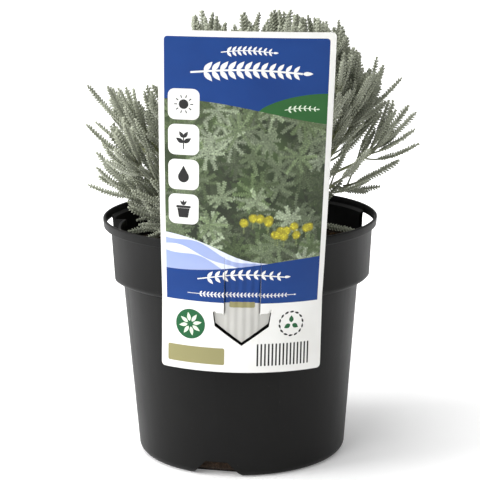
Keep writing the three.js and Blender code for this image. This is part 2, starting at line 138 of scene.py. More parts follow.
SHEET_SEED = 411
PICTURE_SEED = 90121

# Leafy stems, laid out as in the frame
STEM_COUNT = 16
STEM_RADIUS = 1.1
TWIG_RADIUS = 0.85
STEM_RINGS = 6
TWIG_RINGS = 5
STEM_BEADS = 20
CROWN_X = 3.0
CROWN_Y = 2.0
CROWN_SPACING = 5.5
CROWN_START = 0.6
FIRST_TURN = 0.6
DOME_HEIGHT = 118.0
DOME_REACH = 110.5
DOME_TOP_RISE = 0.985
DOME_LOW_RISE = 0.17
DOME_SIDE_SHARE = 0.36
DOME_RISE_SHARE = 1.08
TUFT_SETBACK = 21.0
LEFT_SHARE = 0.92
FRONT_SHARE = 0.66
BACK_SHARE = 0.86
LEFT_DROP = 12.0
HEADING_LEVEL = 0.8
HEADING_LIFT = 0.5
RISING_SHARE = 0.3
ARRIVING_SHARE = 0.35
TWIG_FROM = 0.3
TWIG_RANGE = 0.25
TWIG_LEAVES_AT = 0.4
TWIG_STRAY = 0.05
TWIG_STRAY_MORE = 0.18
TWIG_TRIES = 30
ENOUGH_ROOM = 4.0
LEAVES_PER_TUFT = 5
LEAF_LENGTH = 30.0
LEAF_RADIUS = 2.3
LEAF_OPENING = 0.5
OPENING_STRAY = 0.4
SHORTEST_LEAF = 0.84
LENGTH_STRAY = 0.3
TUFT_DEPTH = 0.3
TUFT_DEPTH_STRAY = 0.1
TURN_STRAY = 3.0
SHORTENING = 0.22
LEAF_UPTURN = 0.3
LEAF_BEND_AT = 0.36
LEAF_BEADS = 9
STALK_BEADS = 3
STALK_RADIUS = 0.75
LEAF_TRIES = 40
LEAF_GAP = 0.6
RIM_ROOM = 6.0
SOIL_ROOM = 2.5
BUSH_TOP = 229.0
# A shoulder: how far aside it starts, how far aside it ends, and the drop of the top over it
LEFT_SHOULDER = (20.0, 45.0, 36.0)
RIGHT_SHOULDER = (45.0, 62.0, 22.0)
BACK_FALL = 0.1
TUFT_ROOM = 20.0
LAYOUT_SEED = 2771

# Short shoots at the top of the bush and added leaves, from draws of their own. A pair, here and
# in the tiers, is a base value and a share of a random draw that is added to it.
SHOOTS_PER_STEM = 4
SHOOT_RADIUS = 0.75
SHOOT_PLACE = (0.5, 0.25)
SHOOT_AWAY = (9, 13)
SHOOT_DEPTH = (21, 12)
SHOOT_LEAST_RISE = 12
SHOOT_OVER_TIP = 8
SHOOT_LOWEST_TIP = 176
SHOOT_FARTHEST_LEFT = -34
SHOOT_FARTHEST_FRONT = -34
SHOOT_SEED = 15731
CROWN_DEPTH = 46
NEARBY = 34
OLD_LEAF_ROOM = 6
ADDED_TURN = 2.1
ADDED_TURN_STRAY = 2.5
ADDED_LIFT = (0.4, 0.5)
SPARSE_FROM_X = 44
SPARSE_BELOW_Z = 152
ADDED_LEAF_SEED = 60413
TONE_SEED = 7121

# Rules of the added leaves, tier by tier. A leaf leaves the shoot at "place", 1 being the tip,
# and opens by "spread" radians, plus "lower_spread" times the share of the shoot above it.
# Leaves may overlap, as "room" is the least clearance and it is negative.
TIERS = {
    "crown": {
        "count": 8, "tries": 22, "room": -3.0, "place": (1, -0.16), "spread": (0.12, 0.5),
        "lower_spread": 0, "length": (16, 10), "girth": 1.2, "bare": 0.18, "tone": (0, 1), "peg_sides": 4,
    },
    "mid": {
        "count": 8, "tries": 14, "room": -2.5, "place": (1, -0.46), "spread": (0.42, 0.35),
        "lower_spread": 0.5, "length": (16, 12), "girth": 1.08, "bare": 0.26, "tone": (0, 1), "peg_sides": 3,
    },
    "young": {
        "count": 4, "tries": 14, "room": -3.1, "place": (1, -0.05), "spread": (0.08, 0.3),
        "lower_spread": 0, "length": (9, 9), "girth": 0.95, "bare": 0.12, "tone": (0.6, 0.4), "peg_sides": 3,
    },
    "old": {
        "count": 3, "tries": 14, "room": -2.5, "place": (0.34, 0.34), "spread": (0.7, 0.6),
        "lower_spread": 0, "length": (15, 10), "girth": 0.9, "bare": 0.24, "tone": (0, 0.4), "peg_sides": 3,
    },
}
MAIN_LEAF = {"girth": 1.0, "bare": 0.3, "tone": (0, 1), "peg_sides": 4}
BARK_SLOT = 1

# Camera, in metres, degrees and pixels
CAMERA_HEIGHT = 0.3076876
CAMERA_DISTANCE = 0.9
CAMERA_PITCH = 12.4221045
CAMERA_YAW = -0.00885
CAMERA_ROLL = -0.50166
FOCAL_LENGTH = 1794.0336
IMAGE_WIDTH = 480
SENSOR_WIDTH = 36

MM = 0.001
GOLDEN_ANGLE = math.pi * (3 - math.sqrt(5))
TURN = 2 * math.pi


def vec(x, y, z):
    return np.array([x, y, z], float)


def unit(v):
    return v / np.maximum(np.linalg.norm(v, axis=-1, keepdims=True), 1e-12)


def seeded_random(seed):
    state = seed

    def draw():
        nonlocal state
        state = state * 16807 % 2147483647
        return state / 2147483647

    return draw


def drawn(pair, draw):
    return pair[0] + pair[1] * draw()


# Curves and the layout of the bush

class Curve:
    def __init__(self, *points):
        self.points = np.array(points, float)

    def at(self, place):
        t = np.asarray(place, float)[..., None]
        p = self.points
        if len(p) == 3:
            return (1 - t) ** 2 * p[0] + 2 * (1 - t) * t * p[1] + t ** 2 * p[2]
        k = 1 - t
        return k ** 3 * p[0] + 3 * k ** 2 * t * p[1] + 3 * k * t ** 2 * p[2] + t ** 3 * p[3]

    def tangent(self, place):
        t = np.asarray(place, float)
        return unit(self.at(np.minimum(t + 1e-4, 1)) - self.at(np.maximum(t - 1e-4, 0)))


def on_rod(curve, place, rings):
    t = np.asarray(place, float)
    step = np.minimum(rings - 2, np.floor(t * (rings - 1)))
    low = curve.at(step / (rings - 1))
    high = curve.at((step + 1) / (rings - 1))
    return low + (high - low) * (t * (rings - 1) - step)[..., None]


def dome_direction(index):
    rise = DOME_TOP_RISE - (DOME_TOP_RISE - DOME_LOW_RISE) * (index + 0.5) / (2 * STEM_COUNT)
    level = math.sqrt(1 - rise * rise)
    angle = index * GOLDEN_ANGLE + FIRST_TURN
    return vec(level * math.cos(angle), level * math.sin(angle), rise)


def smoothstep(value, start, end):
    share = np.clip((value - start) / (end - start), 0, 1)
    return share * share * (3 - 2 * share)


def top_at(x, y):
    left = LEFT_SHOULDER[2] * smoothstep(-x, LEFT_SHOULDER[0], LEFT_SHOULDER[1])
    right = RIGHT_SHOULDER[2] * smoothstep(x, RIGHT_SHOULDER[0], RIGHT_SHOULDER[1])
    return BUSH_TOP - left - right - BACK_FALL * np.maximum(0, y)


def dome_point(direction, setback):
    reach = DOME_REACH * min(1, DOME_SIDE_SHARE + DOME_RISE_SHARE * direction[2]) - setback
    x = CROWN_X + reach * direction[0] * (LEFT_SHARE if direction[0] < 0 else 1)
    y = CROWN_Y + reach * direction[1] * (FRONT_SHARE if direction[1] < 0 else BACK_SHARE)
    z = DOME_HEIGHT + reach * direction[2] - LEFT_DROP * max(0, -direction[0])
    return vec(x, y, min(z, float(top_at(x, y)) - TUFT_ROOM))


def stem_foot(index):
    radius = CROWN_SPACING * math.sqrt(index + CROWN_START)
    angle = index * GOLDEN_ANGLE + FIRST_TURN
    return vec(CROWN_X + radius * math.cos(angle), CROWN_Y + radius * math.sin(angle), SOIL_TOP)


def tuft_heading(direction):
    return unit(vec(direction[0], direction[1] * HEADING_LEVEL, direction[2] + HEADING_LIFT))


def beads(points, radius):
    return points, np.full(len(points), radius)


def joined(*groups):
    return np.concatenate([g[0] for g in groups]), np.concatenate([g[1] for g in groups])


def clearance(list_a, list_b):
    if not len(list_a[0]) or not len(list_b[0]):
        return 100.0
    gap = np.linalg.norm(list_a[0][:, None] - list_b[0][None], axis=2)
    gap = gap - list_a[1][:, None] - list_b[1][None]
    return min(100.0, float(gap.min()))


def inside_bounds(group):
    p, r = group
    out = np.hypot(p[:, 0], p[:, 1])
    over_rim = (out < RIM_INNER_RADIUS - RIM_ROOM - r) | (p[:, 2] > POT_HEIGHT + RIM_ROOM + r)
    over_soil = p[:, 2] > SOIL_TOP + SOIL_ROOM + r
    behind_label = p[:, 1] > -LABEL_FOOT_FRONT + RIM_ROOM + r
    under_top = p[:, 2] < top_at(p[:, 0], p[:, 1]) - r
    return bool((over_rim & over_soil & behind_label & under_top).all())


def pair_tufts():
    free = list(range(STEM_COUNT))
    pairs = []
    for low in range(STEM_COUNT, 2 * STEM_COUNT):
        wanted = dome_direction(low)
        free.sort(key=lambda k: -float(wanted @ dome_direction(k)))
        pairs.append((free.pop(0), low))
    return pairs


def main_stem(index):
    direction = dome_direction(index)
    heading = tuft_heading(direction)
    tip = dome_point(direction, TUFT_SETBACK)
    foot = stem_foot(index)
    span = np.linalg.norm(foot - tip)
    curve = Curve(foot, foot + vec(0, 0, RISING_SHARE * span), tip - heading * ARRIVING_SHARE * span, tip)
    return curve, beads(on_rod(curve, np.linspace(0, 1, STEM_BEADS), STEM_RINGS), STEM_RADIUS)


def side_twig(curve, low, draw, attempt):
    spread = 0 if attempt == 0 else TWIG_STRAY + TWIG_STRAY_MORE * attempt / TWIG_TRIES
    direction = dome_direction(low)
    direction[0] += spread * (draw() - 0.5)
    direction[1] += spread * (draw() - 0.5)
    direction[2] = max(DOME_LOW_RISE - TWIG_STRAY, direction[2] + spread * (draw() - 0.5))
    direction = unit(direction)
    start = on_rod(curve, TWIG_FROM + TWIG_RANGE * draw(), STEM_RINGS)
    tip = dome_point(direction, TUFT_SETBACK)
    heading = tuft_heading(direction)
    span = np.linalg.norm(start - tip)
    tangent = curve.tangent(TWIG_LEAVES_AT)
    leaving = unit(tangent + (direction - tangent) * 0.5)
    twig = Curve(start, start + leaving * span / 3, tip - heading * span / 3, tip)
    return twig, beads(on_rod(twig, np.linspace(0.1, 1, STEM_BEADS), TWIG_RINGS), TWIG_RADIUS)


def leaf_curve(start, axis, around, spread, length, lift=LEAF_UPTURN):
    helper = vec(1, 0, 0) if abs(axis[2]) > 0.9 else vec(0, 0, 1)
    side = unit(np.cross(axis, helper))
    other = np.cross(axis, side)
    out = side * math.cos(around) + other * math.sin(around)
    first = axis * math.cos(spread) + out * math.sin(spread)
    last = unit(axis + out * LEAF_UPTURN + vec(0, 0, lift))
    middle = start + first * LEAF_BEND_AT * length
    end = middle + last * (1 - LEAF_BEND_AT) * length
    return Curve(start, middle, end), out


def leaf_beads(curve):
    stalk = beads(curve.at(np.linspace(0.05, 0.17, STALK_BEADS)), STALK_RADIUS)
    blade = beads(curve.at(np.linspace(0.24, 1, LEAF_BEADS)), LEAF_RADIUS)
    return stalk, blade


def draw_leaf(branch, place, order, attempt, draw):
    since = 1 - (1 - place) * (TUFT_DEPTH + TUFT_DEPTH_STRAY * draw())
    start = on_rod(branch["curve"], since, branch["rings"])
    axis = branch["curve"].tangent(since)
    loosen = min(1, 3 * attempt / LEAF_TRIES)
    around = order * GOLDEN_ANGLE + branch["turn"] + loosen * TURN_STRAY * (draw() - 0.5)
    spread = LEAF_OPENING * (2 - place) * (1 + OPENING_STRAY * (draw() - 0.5))
    length = LEAF_LENGTH * (SHORTEST_LEAF + LENGTH_STRAY * draw()) * (1 - SHORTENING * loosen)
    curve, out = leaf_curve(start, axis, around, spread, length)
    return {"curve": curve, "out": out, "axis": axis, "length": length, "rule": MAIN_LEAF}


def lay_out_bush():
    draw = seeded_random(LAYOUT_SEED)
    stems = []
    for high, low in pair_tufts():
        curve, row = main_stem(high)
        stems.append({"low": low, "curve": curve, "beads": row, "leaves": []})

    def others_of(stem):
        return joined(*[one["beads"] for one in stems if one is not stem])

    for stem in stems:
        others = others_of(stem)
        best, best_room = None, -1000
        for attempt in range(TWIG_TRIES):
            twig, row = side_twig(stem["curve"], stem["low"], draw, attempt)
            room = clearance(row, others)
            if room > best_room:
                best, best_room = (twig, row), room
            if room > ENOUGH_ROOM:
                break
        stem["twig"] = best[0]
        stem["beads"] = joined(stem["beads"], best[1])
    for stem in stems:
        stem["branches"] = [
            {"curve": stem["curve"], "rings": STEM_RINGS, "turn": 6 * draw()},
            {"curve": stem["twig"], "rings": TWIG_RINGS, "turn": 6 * draw()},
        ]
    empty = (np.zeros((0, 3)), np.zeros(0))
    for order in range(LEAVES_PER_TUFT):
        place = 1 - order / LEAVES_PER_TUFT
        for stem in stems:
            others = others_of(stem)
            for branch in stem["branches"]:
                for attempt in range(LEAF_TRIES):
                    leaf = draw_leaf(branch, place, order, attempt, draw)
                    stalk, blade = leaf_beads(leaf["curve"])
                    whole = joined(stalk, blade)
                    own = joined(empty, *[one["blade"] for one in stem["leaves"]])
                    if not clearance(whole, others) > LEAF_GAP or not clearance(blade, own) > 0:
                        continue
                    if inside_bounds(whole):
                        leaf["blade"] = blade
                        stem["leaves"].append(leaf)
                        stem["beads"] = joined(stem["beads"], whole)
                        break
    return stems


# Meshes from arrays

class Shell:
    """Gathers vertices, faces and a colour triple for each vertex."""

    def __init__(self):
        self.points = []
        self.tones = []
        self.loops = []
        self.sizes = []
        self.slots = []
        self.count = 0

    def add(self, points, tones, faces, slot=0):
        points = np.asarray(points, float).reshape(-1, 3)
        self.points.append(points)
        self.tones.append(np.broadcast_to(np.asarray(tones, float), (len(points), 3)))
        for group in faces:
            group = np.asarray(group, int)
            if len(group):
                self.loops.append((group + self.count).ravel())
                self.sizes.append(np.full(len(group), group.shape[1]))
                self.slots.append(np.full(len(group), slot))
        self.count += len(points)

    def build(self, name, materials, smooth=True):
        points = np.concatenate(self.points) * MM
        loops = np.concatenate(self.loops)
        sizes = np.concatenate(self.sizes)
        mesh = bpy.data.meshes.new(name)
        mesh.vertices.add(len(points))
        mesh.vertices.foreach_set("co", points.ravel())
        mesh.loops.add(len(loops))
        mesh.loops.foreach_set("vertex_index", loops)
        mesh.polygons.add(len(sizes))
        mesh.polygons.foreach_set("loop_start", np.concatenate([[0], np.cumsum(sizes)[:-1]]))
        for material in materials:
            mesh.materials.append(material)
        mesh.polygons.foreach_set("material_index", np.concatenate(self.slots))
        mesh.polygons.foreach_set("use_smooth", np.full(len(sizes), smooth))
        mesh.update(calc_edges=True)
        tones = np.concatenate(self.tones)
        layer = mesh.color_attributes.new("tone", "FLOAT_COLOR", "POINT")
        layer.data.foreach_set("color", np.c_[tones, np.ones(len(tones))].ravel())
        mesh.validate()
        obj = bpy.data.objects.new(name, mesh)
        bpy.context.scene.collection.objects.link(obj)
        return obj


def band_faces(rings, sides):
    """Quads between rings of a tube, each ring being a run of the given number of vertices."""
    r = np.arange(rings - 1)[:, None] * sides
    j = np.arange(sides)[None]
    k = (j + 1) % sides
    quads = np.stack([r + j, r + k, r + sides + k, r + sides + j], -1)
    return quads.reshape(-1, 4)


def end_fan(rings, sides):
    """Triangles between the last ring of a tube and the vertex that comes after it."""
    first = (rings - 1) * sides
    j = np.arange(sides)
    return np.stack([first + j, first + (j + 1) % sides, np.full(sides, rings * sides)], -1)


def prism_faces(sides):
    """Side and end faces between two rings, the second numbered on from the first."""
    n = sides
    quads = [(i, (i + 1) % n, n + (i + 1) % n, n + i) for i in range(n)]
    return quads, [tuple(range(n))[::-1], tuple(range(n, 2 * n))]


def ring_angles(sides):
    return TURN * np.arange(sides) / sides


def ellipses(centre, across, upper, half_width, thickness, angle):
    """Rings of points round a row of centres."""
    return (
        centre[:, None]
        + across[:, None] * half_width[:, None, None] * np.sin(angle)[None, :, None]
        + upper[:, None] * thickness[:, None, None] * np.cos(angle)[None, :, None]
    )


# Leaves: a flattened rachis with four rows of blunt pegs, bare and greener at its stalk

def leaf_frames(curve, places, leaf):
    tangent = curve.tangent(places)
    inner = 0.5 * leaf["axis"] - leaf["out"]
    upper = unit(inner[None] - (tangent @ inner)[:, None] * tangent)
    return tangent, upper, np.cross(tangent, upper)


def add_leaf(shell, leaf, tone, draw):
    scale = min(1.0, 0.55 + 0.45 * leaf["length"] / LEAF_LENGTH) * leaf["rule"]["girth"]
    add_rachis(shell, leaf, tone, scale)
    add_pegs(shell, leaf, tone, scale, draw)


def add_rachis(shell, leaf, tone, scale):
    curve = leaf["curve"]
    places = np.array([0, 0.07, 0.16, 0.26, 0.36, 0.46, 0.56, 0.66, 0.76, 0.85, 0.93, 0.985])
    half_width = np.array([1.05, 0.85, 0.68, 0.66, 0.66, 0.66, 0.66, 0.64, 0.6, 0.54, 0.46, 0.3])
    thickness = np.array([0.62, 0.5, 0.42, 0.42, 0.46, 0.5, 0.5, 0.5, 0.48, 0.45, 0.4, 0.26])
    sides = 7
    tangent, upper, across = leaf_frames(curve, places, leaf)
    angle = ring_angles(sides) + 0.2
    ring = ellipses(curve.at(places), across, upper, half_width * scale, thickness * scale, angle)
    end = curve.at(1.0) + tangent[-1] * 0.2
    points = np.concatenate([ring.reshape(-1, 3), end[None]])
    along = np.concatenate([np.repeat(places, sides), [1]])
    # The rachis takes height 0.22, which the leaf material darkens as painted shade between the pegs.
    tones = np.c_[np.full(len(points), tone), along, np.full(len(points), 0.22)]
    root_cap = np.arange(sides)[::-1][None]
    shell.add(points, tones, [band_faces(len(places), sides), end_fan(len(places), sides), root_cap])


def peg_places(leaf, scale, draw):
    """Place along the leaf, turn round it and length of each peg."""
    length = leaf["length"]
    first = leaf["rule"]["bare"]
    count = max(4, int((1 - first) * length / (1.32 * scale)))
    last = 0.985
    pegs = []
    for number, row in enumerate((-1.62, -0.66, 0.66, 1.62)):
        shift = 0.5 * (number % 2)
        for i in range(count):
            at = first + (1 - first) * (i + shift + 0.25) / (count + 0.2)
            if at > last:
                continue
            rise = min(1, (at - first) * length / 5 + 0.35)
            fade = 1 - 0.35 * max(0, (at - 0.85) / 0.15)
            turn = row + 0.3 * (draw() - 0.5)
            pegs.append((at, turn, (1.75 + 0.5 * draw()) * rise * fade * scale))
    pegs += [(last, turn, scale) for turn in (-0.9, 0.2, 1.2)]
    return np.array(pegs).T


def add_pegs(shell, leaf, tone, scale, draw):
    at, turn, reach = peg_places(leaf, scale, draw)
    turn = turn[:, None]
    sides = leaf["rule"]["peg_sides"]
    tangent, upper, across = leaf_frames(leaf["curve"], at, leaf)
    outward = upper * np.cos(turn) + across * np.sin(turn)
    lean = np.where(at > 0.97, 0.45, 1.32 - 0.35 * at)[:, None]
    direction = unit(tangent * np.cos(lean) + outward * np.sin(lean))
    first_side = unit(tangent - (tangent * direction).sum(1)[:, None] * direction)
    second_side = np.cross(direction, first_side)
    root = leaf["curve"].at(at)
    girth = 0.52 * scale * np.minimum(1, 0.6 + 0.22 * reach)
    levels = np.array([0.1, 0.74])
    widths = np.array([0.8, 1.0])
    angle = ring_angles(sides)
    circle = (
        first_side[:, None] * np.cos(angle)[None, :, None]
        + second_side[:, None] * np.sin(angle)[None, :, None]
    )
    reach = reach + 0.35 * scale
    rings = (
        root[:, None, None]
        + direction[:, None, None] * (levels[None] * reach[:, None])[:, :, None, None]
        + circle[:, None] * (widths[None] * girth[:, None])[:, :, None, None]
    )
    apex = root + direction * reach[:, None]
    each = 2 * sides + 1
    points = np.concatenate([rings.reshape(len(at), -1, 3), apex[:, None]], 1)
    # The third channel, the height up each peg, drives the painted crevice shade of the leaf material.
    height = np.concatenate([np.full(sides, 0.15), np.full(sides, 0.8), [1.0]])
    tones = np.stack([
        np.full((len(at), each), tone),
        np.repeat(at[:, None], each, 1),
        np.repeat(height[None], len(at), 0),
    ], -1)
    base = (np.arange(len(at)) * each)[:, None, None]
    walls = (band_faces(2, sides)[None] + base).reshape(-1, 4)
    tips = (end_fan(2, sides)[None] + base).reshape(-1, 3)
    shell.add(points, tones.reshape(-1, 3), [walls, tips])


# Stems: round rods of uneven girth, woody below and green above

def add_rod(shell, curve, radius, rings, sides, green_from, draw, buried=0.0):
    places = np.linspace(0, 1, rings)
    centre = curve.at(places)
    tangent = curve.tangent(places)
    girth = radius * (1 - 0.3 * places)
    girth = girth * np.array([1 + 0.14 * (draw() - 0.5) for _ in places])
    if buried:
        centre = np.concatenate([centre[:1] - vec(0, 0, buried), centre])
        tangent = np.concatenate([vec(0, 0, 1)[None], tangent])
        girth = np.concatenate([[radius], girth])
        places = np.concatenate([[0], places])
    helper = vec(0.31, -0.42, 0.85)
    side = unit(np.cross(helper, tangent))
    other = np.cross(side, tangent)
    ring = ellipses(centre, other, side, girth, girth, ring_angles(sides))
    end = centre[-1] + tangent[-1] * girth[-1]
    points = np.concatenate([ring.reshape(-1, 3), end[None]])
    green = np.clip((places - green_from) / 0.3, 0, 1)
    green = np.concatenate([np.repeat(green, sides), [1]])
    tones = np.c_[np.full(len(points), draw()), green, np.full(len(points), 0.5)]
    walls = band_faces(len(places), sides)[:, ::-1]
    tip = end_fan(len(places), sides)[:, [1, 0, 2]]
    shell.add(points, tones, [walls, tip, np.arange(sides)[None]], BARK_SLOT)


def crown_shoots(stems):
    """Short side shoots that fill the top of the bush between the main tufts."""
    draw = seeded_random(SHOOT_SEED)
    for stem in stems:
        tip = stem["curve"].at(1.0)
        stem["shoots"] = []
        if tip[2] < SHOOT_LOWEST_TIP or tip[0] < SHOOT_FARTHEST_LEFT:
            continue
        for _ in range(SHOOTS_PER_STEM):
            place = drawn(SHOOT_PLACE, draw)
            start = on_rod(stem["curve"], place, STEM_RINGS)
            turn = TURN * draw()
            away = drawn(SHOOT_AWAY, draw)
            x = tip[0] + away * math.cos(turn)
            y = tip[1] + 0.9 * away * math.sin(turn)
            height = float(top_at(x, y)) - SHOOT_DEPTH[0] - SHOOT_DEPTH[1] * draw()
            end = vec(x, y, min(height, tip[2] + SHOOT_OVER_TIP))
            if end[2] < start[2] + SHOOT_LEAST_RISE or end[1] < SHOOT_FARTHEST_FRONT:
                continue
            span = np.linalg.norm(end - start)
            heading = unit(stem["curve"].tangent(place) + 0.8 * unit(end - start))
            curve = Curve(start, start + heading * span / 3, end - vec(0, 0, span / 3), end)
            shoot = {"curve": curve, "rings": TWIG_RINGS, "turn": 6 * draw(), "shoot": True}
            stem["shoots"].append(shoot)
            stem["branches"].append(shoot)


def near_low_right(points):
    """The bush is sparse and shows single leaves low on its right side."""
    return points[:, 0].max() > SPARSE_FROM_X and points[:, 2].min() < SPARSE_BELOW_Z


def takes_tier(branch, tier, order):
    """Only high branches have crown leaves, and short shoots have no old and fewer mid ones."""
    tip = branch["curve"].at(1.0)
    if tier == "crown" and not tip[2] > top_at(tip[0], tip[1]) - CROWN_DEPTH:
        return False
    return not (branch.get("shoot") and (tier == "old" or tier == "mid" and order > 4))


def fits_in(leaf, tier, blades):
    stalk, blade = leaf_beads(leaf["curve"])
    whole = joined(stalk, blade)
    leaf["blade"] = blade
    if tier == "old" and whole[0][:, 2].min() < POT_HEIGHT + OLD_LEAF_ROOM:
        return False
    if tier != "crown" and near_low_right(whole[0]):
        return False
    near = blade[0].mean(0)
    close = [b for b in blades if abs(b[0][LEAF_BEADS // 2] - near).max() < NEARBY]
    room = clearance(blade, joined(*close)) if close else 9
    return room > leaf["rule"]["room"] and inside_bounds(whole)


def added_leaves(stems):
    """More leaves down each shoot than the frame has."""
    draw = seeded_random(ADDED_LEAF_SEED)
    blades = [leaf["blade"] for stem in stems for leaf in stem["leaves"]]
    for tier, rule in TIERS.items():
        for order in range(rule["count"]):
            for stem, branch in [(stem, branch) for stem in stems for branch in stem["branches"]]:
                if not takes_tier(branch, tier, order):
                    continue
                for _ in range(rule["tries"]):
                    leaf = draw_added(branch, rule, order, draw)
                    if fits_in(leaf, tier, blades):
                        stem["leaves"].append(leaf)
                        blades.append(leaf["blade"])
                        break


def draw_added(branch, rule, order, draw):
    since = drawn(rule["place"], draw)
    spread = rule["spread"][0] + rule["lower_spread"] * (1 - since) + rule["spread"][1] * draw()
    length = drawn(rule["length"], draw)
    start = on_rod(branch["curve"], since, branch["rings"])
    axis = branch["curve"].tangent(since)
    around = order * GOLDEN_ANGLE + branch["turn"] + ADDED_TURN + ADDED_TURN_STRAY * (draw() - 0.5)
    curve, out = leaf_curve(start, axis, around, spread, length, drawn(ADDED_LIFT, draw))
    return {"curve": curve, "out": out, "axis": axis, "length": length, "rule": rule}


def build_bush(leaf_material, stem_material):
    stems = lay_out_bush()
    crown_shoots(stems)
    added_leaves(stems)
    draw = seeded_random(TONE_SEED)
    for number, stem in enumerate(stems):
        name = f"leafy_stem_{number + 1:02d}"
        shell = Shell()
        add_rod(shell, stem["curve"], STEM_RADIUS, 22, 9, 0.32, draw, SOIL_TOP - HOLE_BOTTOM - TOUCH_GAP)
        add_rod(shell, stem["twig"], TWIG_RADIUS, 16, 8, -0.1, draw)
        for shoot in stem["shoots"]:
            add_rod(shell, shoot["curve"], SHOOT_RADIUS, 12, 7, -0.2, draw)
        for leaf in stem["leaves"]:
            # Painted shade: leaves further right, x from 10 to 70 mm, get tones up to 40% darker, as the
            # side away from the main light.
            away = float(leaf["curve"].at(0.5)[0])
            tone = draw() * (1 - 0.4 * smoothstep(away, 10, 70))
            base, share = leaf["rule"]["tone"]
            add_leaf(shell, leaf, base + share * tone, draw)
        obj = shell.build(name + "_foliage", [leaf_material, stem_material])
        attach(obj, "root")
        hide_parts(name)


# Materials

def srgb(r, g, b):
    def channel(c):
        c = c / 255
        return c / 12.92 if c <= 0.04045 else ((c + 0.055) / 1.055) ** 2.4
    return (channel(r), channel(g), channel(b), 1)


class Nodes:
    def __init__(self, name):
        self.material = bpy.data.materials.new(name)
        self.material.use_nodes = True
        self.tree = self.material.node_tree
        self.shader = self.tree.nodes["Principled BSDF"]

    def new(self, kind, **settings):
        node = self.tree.nodes.new(kind)
        for key, value in settings.items():
            setattr(node, key, value)
        return node

    def link(self, a, b):
        self.tree.links.new(a, b)

    def feed(self, value, socket):
        if hasattr(value, "links"):
            self.link(value, socket)
        else:
            socket.default_value = value

    def noise(self, scale, detail=3, rough=0.6, at=None, stretch=None):
        node = self.new("ShaderNodeTexNoise")
        node.inputs["Scale"].default_value = scale
        node.inputs["Detail"].default_value = detail
        node.inputs["Roughness"].default_value = rough
        self.link(self.place(at, stretch), node.inputs["Vector"])
        return node.outputs["Fac"]

    def voronoi(self, scale, feature="F1", at=None, stretch=None, output="Distance"):
        node = self.new("ShaderNodeTexVoronoi", feature=feature)
        node.inputs["Scale"].default_value = scale
        self.link(self.place(at, stretch), node.inputs["Vector"])
        return node.outputs[output]

    def place(self, at, stretch):
        if at is None:
            at = self.new("ShaderNodeTexCoord").outputs["Object"]
        if stretch is None:
            return at
        node = self.new("ShaderNodeMapping")
        node.inputs["Scale"].default_value = stretch
        self.link(at, node.inputs["Vector"])
        return node.outputs["Vector"]

    def ramp(self, value, *stops):
        node = self.new("ShaderNodeValToRGB")
        band = node.color_ramp
        while len(band.elements) < len(stops):
            band.elements.new(0.5)
        for element, (position, colour) in zip(band.elements, stops):
            element.position = position
            element.color = colour if hasattr(colour, "__len__") else (colour, colour, colour, 1)
        self.feed(value, node.inputs["Fac"])
        return node.outputs["Color"]

    def mix(self, share, a, b, kind="MIX"):
        node = self.new("ShaderNodeMix", data_type="RGBA", blend_type=kind)
        self.feed(share, node.inputs["Factor"])
        self.feed(a, node.inputs[6])
        self.feed(b, node.inputs[7])
        return node.outputs[2]

    def math(self, kind, a, b=0.5, c=None):
        node = self.new("ShaderNodeMath", operation=kind)
        self.feed(a, node.inputs[0])
        self.feed(b, node.inputs[1])
        if c is not None:
            self.feed(c, node.inputs[2])
        return node.outputs[0]

    def bump(self, height, strength, distance, base=None):
        node = self.new("ShaderNodeBump")
        node.inputs["Strength"].default_value = strength
        node.inputs["Distance"].default_value = distance
        self.link(height, node.inputs["Height"])
        if base is not None:
            self.link(base, node.inputs["Normal"])
        return node.outputs["Normal"]

    def tones(self, name="tone"):
        node = self.new("ShaderNodeAttribute", attribute_name=name)
        split = self.new("ShaderNodeSeparateColor")
        self.link(node.outputs["Color"], split.inputs["Color"])
        return split.outputs

    def finish(self, colour=None, roughness=None, normal=None, **sockets):
        shader = self.shader.inputs
        if colour is not None:
            self.feed(colour, shader["Base Color"])
        if roughness is not None:
            self.feed(roughness, shader["Roughness"])
        if normal is not None:
            self.feed(normal, shader["Normal"])
        for key, value in sockets.items():
            shader[key.replace("_", " ").title().replace("Ior", "IOR")].default_value = value
        return self.material


def leaf_material():
    n = Nodes("felted_leaf")
    tone, along, height = n.tones()[0:3]
    silver = n.ramp(tone, (0, srgb(128, 133, 112)), (0.5, srgb(158, 163, 141)), (1, srgb(182, 187, 167)))
    green = n.ramp(tone, (0, srgb(104, 110, 72)), (1, srgb(140, 146, 104)))
    blotch = n.noise(190, 2)
    fade = n.math("ADD", along, n.math("MULTIPLY_ADD", blotch, 0.16, -0.08))
    stalk = n.ramp(fade, (0.16, 0.0), (0.42, 1.0))
    colour = n.mix(stalk, green, silver)
    # Painted shade: the rachis and the roots of the pegs are darkened, as shade in the crevices between
    # pegs, and the peg tips are made a little lighter.
    shade = n.ramp(height, (0.12, 0.5), (0.3, 0.72), (0.85, 1.0), (1.0, 1.12))
    colour = n.mix(1.0, colour, shade, "MULTIPLY")
    fluff = n.noise(2600, 2, 0.7)
    colour = n.mix(n.math("MULTIPLY", fluff, 0.35), colour, srgb(214, 217, 202))
    normal = n.bump(fluff, 0.5, 0.00025)
    return n.finish(colour, 0.9, normal, sheen_weight=0.35, sheen_roughness=0.5, specular_ior_level=0.2)


def stem_material():
    n = Nodes("stem_bark")
    green = n.tones()[1]
    bark = n.noise(900, 4, 0.7, stretch=(1, 1, 0.25))
    wood = n.ramp(bark, (0.3, srgb(66, 56, 42)), (0.55, srgb(104, 92, 70)), (0.75, srgb(138, 128, 104)))
    young = n.ramp(bark, (0.3, srgb(112, 118, 78)), (0.7, srgb(150, 154, 118)))
    colour = n.mix(green, wood, young)
    normal = n.bump(bark, 0.6, 0.0004)
    return n.finish(colour, 0.85, normal, specular_ior_level=0.25)


